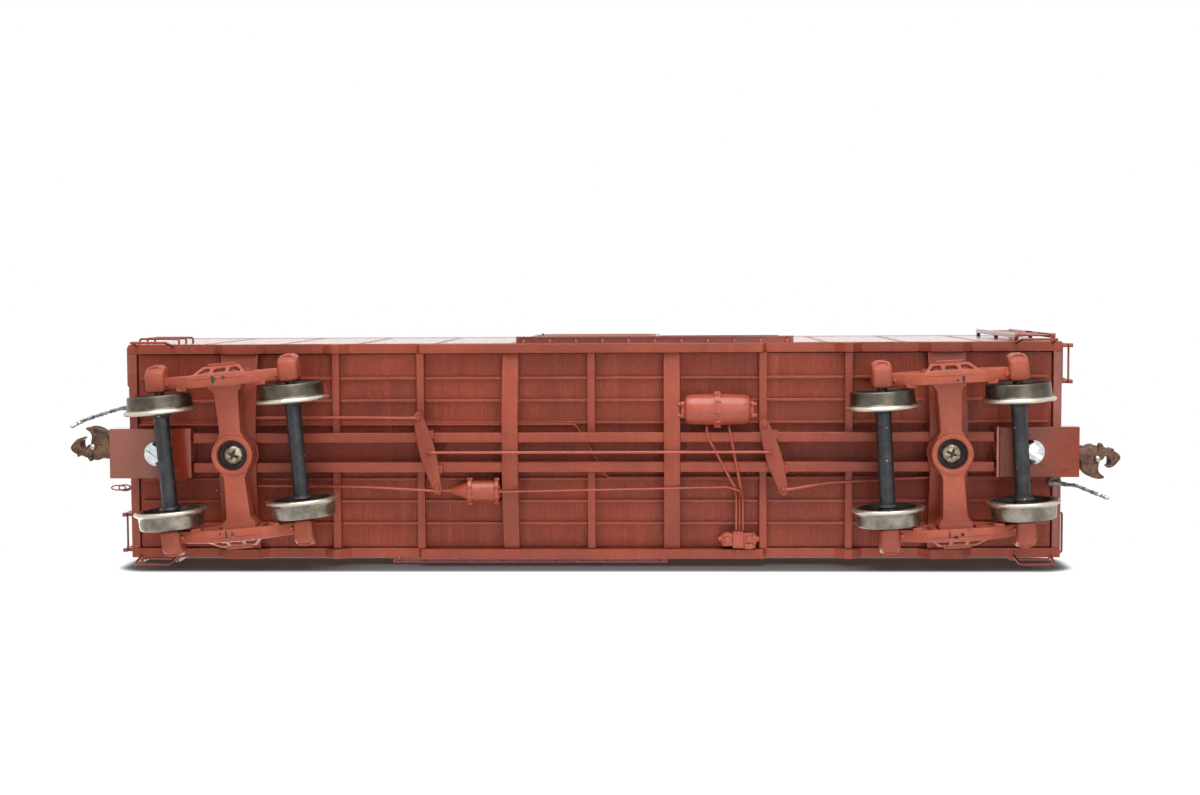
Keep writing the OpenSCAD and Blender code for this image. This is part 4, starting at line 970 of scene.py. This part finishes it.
def brake_cylinder():
    """The cylinder between two bolted flange rings, with its cone and push rod."""
    shape = Shape("brake_cylinder_casting")
    r = (CYL_HIGH.y - CYL_LOW.y) / 2
    x0, y, z = CYL_LOW.x, (CYL_LOW.y + CYL_HIGH.y) / 2, CYL_LOW.z + r
    length = 9.0
    profile = [(0, 0.8), (0.22, 1.3), (0.33, 1.4), (0.36, 1.9), (0.44, 1.97), (0.86, 1.97), (0.94, 1.9),
               (0.97, 1.62), (4.36, 1.62), (4.4, 1.9), (4.48, 1.97), (5.02, 1.97), (5.1, 1.9), (5.14, 1.42),
               (5.3, 1.34), (7.25, 0.62), (7.4, 0.5), (7.42, 0.2), (9.0, 0.2)]
    shape.turned((x0, y, z), (x0 + length, y, z), [(d / length, radius) for d, radius in profile], 40)
    for x in (0.65, 4.75):
        bolts(shape, (x0 + x, y, z), 2.0, 8, 0.5, 0.42, 0.2)
    for x in (1.6, 3.6):
        shape.box((x0 + x, y - 0.8, z), (x0 + x + 0.5, y + 0.8, FLOOR_Z))
    shape.nut((x0 + 0.1, y, z - 0.75), (-1, 0, 0), 0.26, 0.35)
    shape.finish("body", "brake_gear_paint", replaces=["brake_cylinder"])


def reservoir():
    """The air tank: two pressed shells bolted together at a middle band, and a bracket at each end."""
    shape = Shape("reservoir_shell")
    r = (RES_HIGH.y - RES_LOW.y) / 2 - 0.22
    middle, y, z = (RES_LOW.x + RES_HIGH.x) / 2, (RES_LOW.y + RES_HIGH.y) / 2, RES_LOW.z + r + 0.22
    length = 9.8
    profile = [(0, 1.3), (0.06, 1.75), (0.2, 2.0), (0.5, 2.15), (1.4, 2.26), (4.45, 2.33), (4.5, 2.33),
               (4.52, 2.56), (4.84, 2.6), (4.86, 2.5), (4.94, 2.5), (4.96, 2.6), (5.28, 2.56), (5.3, 2.33),
               (5.35, 2.33), (8.4, 2.26), (9.3, 2.15), (9.6, 2.0), (9.74, 1.75), (9.8, 1.3)]
    shape.turned((middle - length / 2, y, z), (middle + length / 2, y, z),
                 [(d / length, radius) for d, radius in profile], 48)
    bolts(shape, (middle, y, z), r + 0.3, 10, 0.35, 0.52, 0.18)
    nut = [(0, 0.42), (0.5, 0.42), (0.6, 0.26), (0.95, 0.26), (1, 0.16)]
    for s in (-1, 1):
        end = middle + s * length / 2
        shape.plate([oblong(end - 0.15 * s, y - 1.25, end + 0.55 * s, y + 1.25, 0.12)], z - 1.0, z + 0.2, 0.1)
        for v in (y - 0.85, y + 0.85):
            shape.turned((end + 0.1 * s, v, z - 0.75), (end + 1.0 * s, v, z - 0.75), nut, 10)
            stud = end + 0.35 * s
            shape.turned((stud, v, z - 0.9), (stud, v, z - 1.45), [(0, 0.3), (0.7, 0.3), (1, 0.16)], 10)
        shape.box((middle + s * 2.7 - 0.3, y - 0.8, z), (middle + s * 2.7 + 0.3, y + 0.8, FLOOR_Z))
    shape.finish("body", "brake_gear_paint", replaces=["reservoir"])


def valve():
    """The valve cluster: a pipe bracket between two bolted blocks and their caps."""
    shape = Shape("brake_valve_cluster")
    x, y = (VALVE_LOW.x + VALVE_HIGH.x) / 2, (VALVE_LOW.y + VALVE_HIGH.y) / 2
    low = VALVE_LOW.z

    def block(x0, y0, x1, y1, z0, z1):
        shape.plate([oblong(x + x0, y + y0, x + x1, y + y1, 0.15)], z0, z1, 0.14, "xy", 2)

    block(-0.75, -1.25, 0.95, 1.25, low, FLOOR_Z)
    block(-2.55, -1.3, -0.5, 0.95, low + 0.35, FLOOR_Z - 0.3)
    block(-2.2, -1.4, -0.85, -0.5, low + 0.1, low + 1.4)
    block(0.9, -0.95, 2.55, 0.9, low + 0.2, FLOOR_Z - 0.4)
    block(1.2, 0.5, 2.1, 1.1, low + 0.4, low + 1.5)
    for u, v, r in ((0.1, 1.05, 0.3), (-0.45, 1.0, 0.26), (0.62, 1.0, 0.26), (0.1, -0.95, 0.3),
                    (-1.55, 0.1, 0.55), (1.7, 0.0, 0.55), (-2.2, 0.6, 0.2), (-2.2, -0.9, 0.2),
                    (2.25, 0.6, 0.2), (2.25, -0.65, 0.2)):
        shape.turned((x + u, y + v, low + 0.5), (x + u, y + v, low - 0.12),
                     [(0, r), (0.75, r), (0.92, 0.85 * r), (1, 0.4 * r)], 12)
    z = low + 1.2
    cap = [(0, 0.75), (0.4, 0.75), (0.45, 0.45), (0.8, 0.45), (1, 0.3)]
    for side in (-1, 1):
        u = x + 2.6 * side
        shape.turned((u - 0.2 * side, y, z), (u + 0.55 * side, y, z), cap, 14)
    shape.finish("body", "brake_gear_paint", replaces=["brake_valve"])


brake_levers()
brake_rods()
brake_cylinder()
reservoir()
valve()

# ---------------------------------------------------------------- doors, steps and rivets

DOOR_LOW, DOOR_HIGH = box_of("door_left")
TRACK_LOW = box_of("door_tracks")[0]
STEP_HIGH = box_of("sill_steps")[1]
DOOR_FACE = HALF_W + 0.4


def door_leaf(shape):
    """A pressed steel door: three ribbed sheets in a frame, a latch bar with its handle, and two rollers."""
    x0, x1 = DOOR_LOW.x, DOOR_HIGH.x
    z0, z1 = DOOR_LOW.z, DOOR_HIGH.z
    back = HALF_W + 0.12
    shape.box((x0 + 0.05, back, z0 + 0.05), (x1 - 0.05, DOOR_FACE, z1 - 0.05))
    sheet = (z1 - z0) / 3
    windows = []
    for i in range(3):
        low, high = z0 + i * sheet + 0.5, z0 + (i + 1) * sheet - 0.45
        windows.append(oblong(x0 + 0.8, low, x1 - 0.8, high, 0.3))
        for k in range(5):
            z = low + (k + 0.5) * (high - low) / 5
            rib = ((x0 + 1.3, -0.05), (x0 + 1.9, 0.02), (x1 - 1.9, 0.02), (x1 - 1.3, -0.05))
            shape.tube([(x, DOOR_FACE + out, z) for x, out in rib], [0.06, 0.2, 0.2, 0.06], 8)
    frame_edge = [(x0, z0), (x1, z0), (x1, z1), (x0, z1)]
    shape.plate([frame_edge] + windows, DOOR_FACE - 0.1, DOOR_FACE + 0.14, 0.06, "xz")
    y = DOOR_FACE + 0.12
    for i in range(4):
        z = min(max(z0 + i * sheet, z0 + 0.28), z1 - 0.28)
        shape.rivets(20, (x0 + 0.7, y, z), (x1 - 0.7, y, z), (0, 1, 0), 0.11)
    for x in (x0 + 0.3, x1 - 0.3):
        shape.rivets(30, (x, y, z0 + 0.8), (x, y, z1 - 0.8), (0, 1, 0), 0.1)
    bar = x1 - 1.15
    shape.tube([(bar, DOOR_FACE + 0.24, z0 + 0.4), (bar, DOOR_FACE + 0.24, z1 - 0.4)], 0.1, 8)
    handle = [(bar, DOOR_FACE + 0.26, z0 + 12), (bar - 0.9, DOOR_FACE + 0.28, z0 + 11.2),
              (bar - 3.2, DOOR_FACE + 0.28, z0 + 11.2)]
    shape.tube(handle, 0.1, 8)
    for z in (z0 + 2, z0 + 12, z0 + 20, z1 - 2):
        shape.box((bar - 0.25, DOOR_FACE, z - 0.22), (bar + 0.25, DOOR_FACE + 0.34, z + 0.22))
    for x in (x0 + 2.4, x1 - 2.4):
        hanger = [(x - 1.1, z0 + 0.02), (x + 1.1, z0 + 0.02), (x + 0.55, z0 + 1.35), (x - 0.55, z0 + 1.35)]
        shape.plate([rounded(hanger, 0.3)], DOOR_FACE, DOOR_FACE + 0.3, 0.07, "xz")
        roller = [(0, 0.3), (0.6, 0.3), (1, 0.18)]
        shape.turned((x, DOOR_FACE + 0.2, z0 + 0.5), (x, DOOR_FACE + 0.36, z0 + 0.5), roller, 12)


def door_tracks(shape):
    """The lower rail on brackets, the stops at its ends, and the flat upper guide."""
    x0, x1 = TRACK_LOW.x, DOOR_HIGH.x + 0.9
    low, high = TRACK_LOW.z, DOOR_HIGH.z + 0.04
    wall, out = HALF_W - 0.05, HALF_W + 1.0
    rail = [(wall, low + 0.22), (out - 0.24, low + 0.22), (out - 0.24, low + 0.02), (out, low + 0.02),
            (out, low + 0.5), (out - 0.14, low + 0.5), (out - 0.14, low + 0.42), (wall, low + 0.42)]
    shape.prism(rail, x0, x1, "yz")
    pitch = 4.0
    for i in range(int((x1 - x0 - 1) / pitch) + 1):
        x = x0 + 1 + i * pitch
        bracket = [(wall, low - 0.95), (HALF_W + 0.14, low - 0.95), (out - 0.2, low + 0.3), (wall, low + 0.3)]
        shape.prism(bracket, x - 0.17, x + 0.17, "yz")
        shape.rivet((x, out - 0.02, low + 0.26), (0, 1, 0), 0.12, 0.05)
    guide = [(wall, high), (HALF_W + 0.28, high), (HALF_W + 0.28, high + 0.2), (HALF_W + 0.16, high + 0.48),
             (wall, high + 0.48)]
    shape.prism(guide, x0, x1, "yz")
    for x in (x0 + 0.25, x1 - 0.25):
        shape.box((x - 0.22, wall, low + 0.05), (x + 0.22, out - 0.1, low + 0.95))


def sill_steps(shape):
    """Bent strap steps below the side sills, each with two bolts at either leg."""
    x = STEP_HIGH.x - 3.25
    top, low = STEP_HIGH.z, STEP_HIGH.z - 4.2
    for side in (-1, 1):
        for end in (-1, 1):
            y = side * (HALF_W - 0.2)
            out = side * (HALF_W + 0.42)
            path = ((-2.75, y, top + 0.9), (-2.75, y, top - 0.1), (-2.6, out, low + 0.2),
                    (2.6, out, low + 0.2), (2.75, y, top - 0.1), (2.75, y, top + 0.9))
            shape.tube(bent([(end * x + dx, py, z) for dx, py, z in path], 0.5, 3), 0.2, 10)
            for leg in (-2.75, 2.75):
                shape.rivet((end * x + leg, side * (HALF_W - 0.02), top + 0.45), (0, side, 0), 0.16, 0.09)


def body_rivets():
    """Lapped sheets with double rivet rows on the sides, and rows at the sills, eaves and corners."""
    laps = Shape("side_laps")
    rows = Shape("side_rivets")
    post = 1.2
    bay = (HALF_L - DOOR_HIGH.x - post) / 5
    seams = [DOOR_HIGH.x + post + i * bay for i in range(5)]
    for y in (-1, 1):
        out = (0, y, 0)
        for x in [s * u for u in seams for s in (-1, 1)]:
            laps.box((x - 0.55, y * (HALF_W - 0.1), WALL_Z + 0.1),
                     (x + 0.55, y * (HALF_W + 0.03), EAVE_Z - 0.1))
            for row in (x - 0.3, x + 0.3):
                face = y * (HALF_W + 0.02)
                rows.rivets(30, (row, face, WALL_Z + 0.9), (row, face, EAVE_Z - 0.9), out, 0.11, 0.05)
        face = y * (HALF_W - 0.01)
        for z in (WALL_Z + 0.35, EAVE_Z - 0.4):
            rows.rivets(118, (-HALF_L + 0.9, face, z), (HALF_L - 0.9, face, z), out, 0.11, 0.05)
    low, high = WALL_Z + 0.6, EAVE_Z - 0.6
    for x in (-1, 1):
        for y in (-1, 1):
            u, v = x * (HALF_L - 0.01), y * (HALF_W - 0.45)
            rows.rivets(36, (u, v, low), (u, v, high), (x, 0, 0), 0.11)
            u, v = x * (HALF_L - 0.45), y * (HALF_W - 0.01)
            rows.rivets(36, (u, v, low), (u, v, high), (0, y, 0), 0.11, 0.05)
    laps.finish("body", "body_paint")
    rows.finish("body", "body_paint")


for flip, side in zip(half_turn(), ("left", "right")):
    leaf = Shape(f"door_leaf_{side}", flip)
    door_leaf(leaf)
    leaf.finish(f"door_{side}", "body_paint", replaces=[f"door_{side}"])
rails = Shape("door_rails")
for flip in half_turn():
    rails.at = flip
    door_tracks(rails)
rails.finish("body", "body_paint", replaces=["door_tracks"])
steps = Shape("strap_steps")
sill_steps(steps)
steps.finish("body", "body_paint", FRAME_PAINT, replaces=["sill_steps"])
body_rivets()

# ---------------------------------------------------------------- stage, lights and camera


WHITE = (1, 1, 1, 1)
DARK = (0.13, 0.13, 0.13, 1)
HALO_REACH = 9


def one_sided(name, footprint, shade, reach, edge=1.0, halo=0.0):
    """White ground that the camera sees from above only: its glow is dimmed near the car as a painted shadow,
    besides the real shadow on its dark diffuse part, and it is pure white farther out.
    """
    s = Shader(name)
    path = s.add("ShaderNodeLightPath")
    back = s.add("ShaderNodeNewGeometry").outputs["Backfacing"]
    low, high = (tuple(v * MM for v in corner) for corner in footprint)
    under = s.vector("SUBTRACT", low, s.place())
    over = s.vector("SUBTRACT", s.place(), high)
    apart = s.vector("MAXIMUM", s.vector("MAXIMUM", under, over), (0, 0, 0))
    apart = s.vector("LENGTH", apart, output="Value")

    def fall(length, power):
        """1 at the footprint, dying away over a length in millimetres."""
        far = s.math("POWER", s.math("MULTIPLY", apart, 1 / (length * MM)), power)
        return s.math("POWER", math.e, s.math("MULTIPLY", far, -1))

    # Painted shadow: the glow's strength drops near the footprint, with a wider faint halo.
    lift = s.math("SUBTRACT", 1.0, s.math("MULTIPLY", fall(reach, edge), 1.0 - shade - halo))
    lift = s.math("SUBTRACT", lift, s.math("MULTIPLY", fall(HALO_REACH, 2.0), halo))
    ground = s.add("ShaderNodeBsdfDiffuse", {"Color": DARK}).outputs[0]
    glow = s.add("ShaderNodeEmission", {"Color": WHITE, "Strength": lift}).outputs[0]
    lit = s.add("ShaderNodeAddShader", {0: ground, 1: glow}).outputs[0]
    clear = s.add("ShaderNodeBsdfTransparent").outputs[0]
    hidden = s.math("MAXIMUM", back, s.math("SUBTRACT", 1.0, path.outputs["Is Camera Ray"]))
    shown = s.add("ShaderNodeMixShader", {0: hidden, 1: lit, 2: clear}).outputs[0]
    return s.done(shown)


def plane(name, corners, material):
    """A stage piece: one face."""
    mesh = bpy.data.meshes.new(name)
    mesh.from_pydata([Vector(c) * MM for c in corners], [], [(0, 1, 2, 3)])
    mesh.materials.append(material)
    obj = bpy.data.objects.new(name, mesh)
    bpy.context.scene.collection.objects.link(obj)


TABLE_Y = LOW.y - 0.02
GROUND_Z = LOW.z - 0.02
REACH = 4000
TABLE_END = 30
# The box under the car's sill where the table's painted shadow is darkest.
UNDER_CAR = (-HALF_L + 4, -100, SILL_LOW.z), (HALF_L - 4, 100, SILL_LOW.z + 5)
plane("table", [(-REACH, TABLE_Y, -REACH), (-REACH, TABLE_Y, TABLE_END), (REACH, TABLE_Y, TABLE_END),
                (REACH, TABLE_Y, -REACH)],
      one_sided("table_white", UNDER_CAR, shade=0.02, reach=5.0, edge=10, halo=0.07))
# The ground's painted shadow falls off around the car's plan.
plane("ground", [(-REACH, -REACH, GROUND_Z), (REACH, -REACH, GROUND_Z), (REACH, REACH, GROUND_Z),
                 (-REACH, REACH, GROUND_Z)],
      one_sided("ground_white", ((-HALF_L, -HALF_W, -100), (HALF_L, HALF_W, 100)), shade=0.3, reach=9))


def area_light(name, place, target, size, watts, mirrored=True):
    """A square light aimed at a target; the camera never sees it."""
    light = bpy.data.lights.new(name, "AREA")
    light.shape = "SQUARE"
    light.size = size * MM
    light.energy = watts
    obj = bpy.data.objects.new(name, light)
    obj.location = Vector(place) * MM
    obj.rotation_euler = (Vector(target) - Vector(place)).to_track_quat("-Z", "Y").to_euler()
    obj.visible_camera = False
    obj.visible_glossy = mirrored
    bpy.context.scene.collection.objects.link(obj)


# Each light's place and target, its width and its power in watts
TENT = 420
area_light("tent_top", (0, 430, -150), (0, 0, 15), TENT, 2.4)
area_light("tent_front", (-160, 160, -520), (0, 0, 10), TENT, 0.75)
area_light("table_bounce", (0, -190, -300), (0, 0, 12), 320, 0.8, mirrored=False)
area_light("tent_above", (260, -240, 520), (0, 0, 25), TENT, 1.6)

world = Shader("white_tent", bpy.data.worlds, "ShaderNodeOutputWorld")
ray = world.add("ShaderNodeLightPath").outputs
mirrored = world.math("MAXIMUM", ray["Is Glossy Ray"], ray["Is Transmission Ray"])
shows = world.math("MAXIMUM", ray["Is Camera Ray"], mirrored)
AMBIENT = 0.24
ambient, seen = (world.add("ShaderNodeBackground", {"Color": WHITE, "Strength": strength}).outputs[0]
                 for strength in (AMBIENT, 1.0))
either = world.add("ShaderNodeMixShader", {0: shows, 1: ambient, 2: seen}).outputs[0]
bpy.context.scene.world = world.done(either)

CAMERA_AT = Vector((-10.0, 24.0, SILL_LOW.z - 263.9))
CAMERA_AIM = Vector((0.0327, -0.0599, 1.0)).normalized()
CAMERA_ROLL = math.radians(-0.28)
LENS, SENSOR = 52.6, 36
camera = bpy.data.objects.new("camera", bpy.data.cameras.new("camera"))
camera.data.sensor_width = SENSOR
camera.data.lens = LENS
camera.data.clip_start = 0.01
right = CAMERA_AIM.cross(Vector((0, 1, 0))).normalized()
up = right.cross(CAMERA_AIM)
facing = Matrix((right, up, -CAMERA_AIM)).transposed().to_4x4()
roll = Matrix.Rotation(CAMERA_ROLL, 4, "Z")
camera.matrix_world = Matrix.Translation(CAMERA_AT * MM) @ facing @ roll
bpy.context.scene.collection.objects.link(camera)
bpy.context.scene.camera = camera
bpy.context.scene.view_settings.view_transform = "Standard"
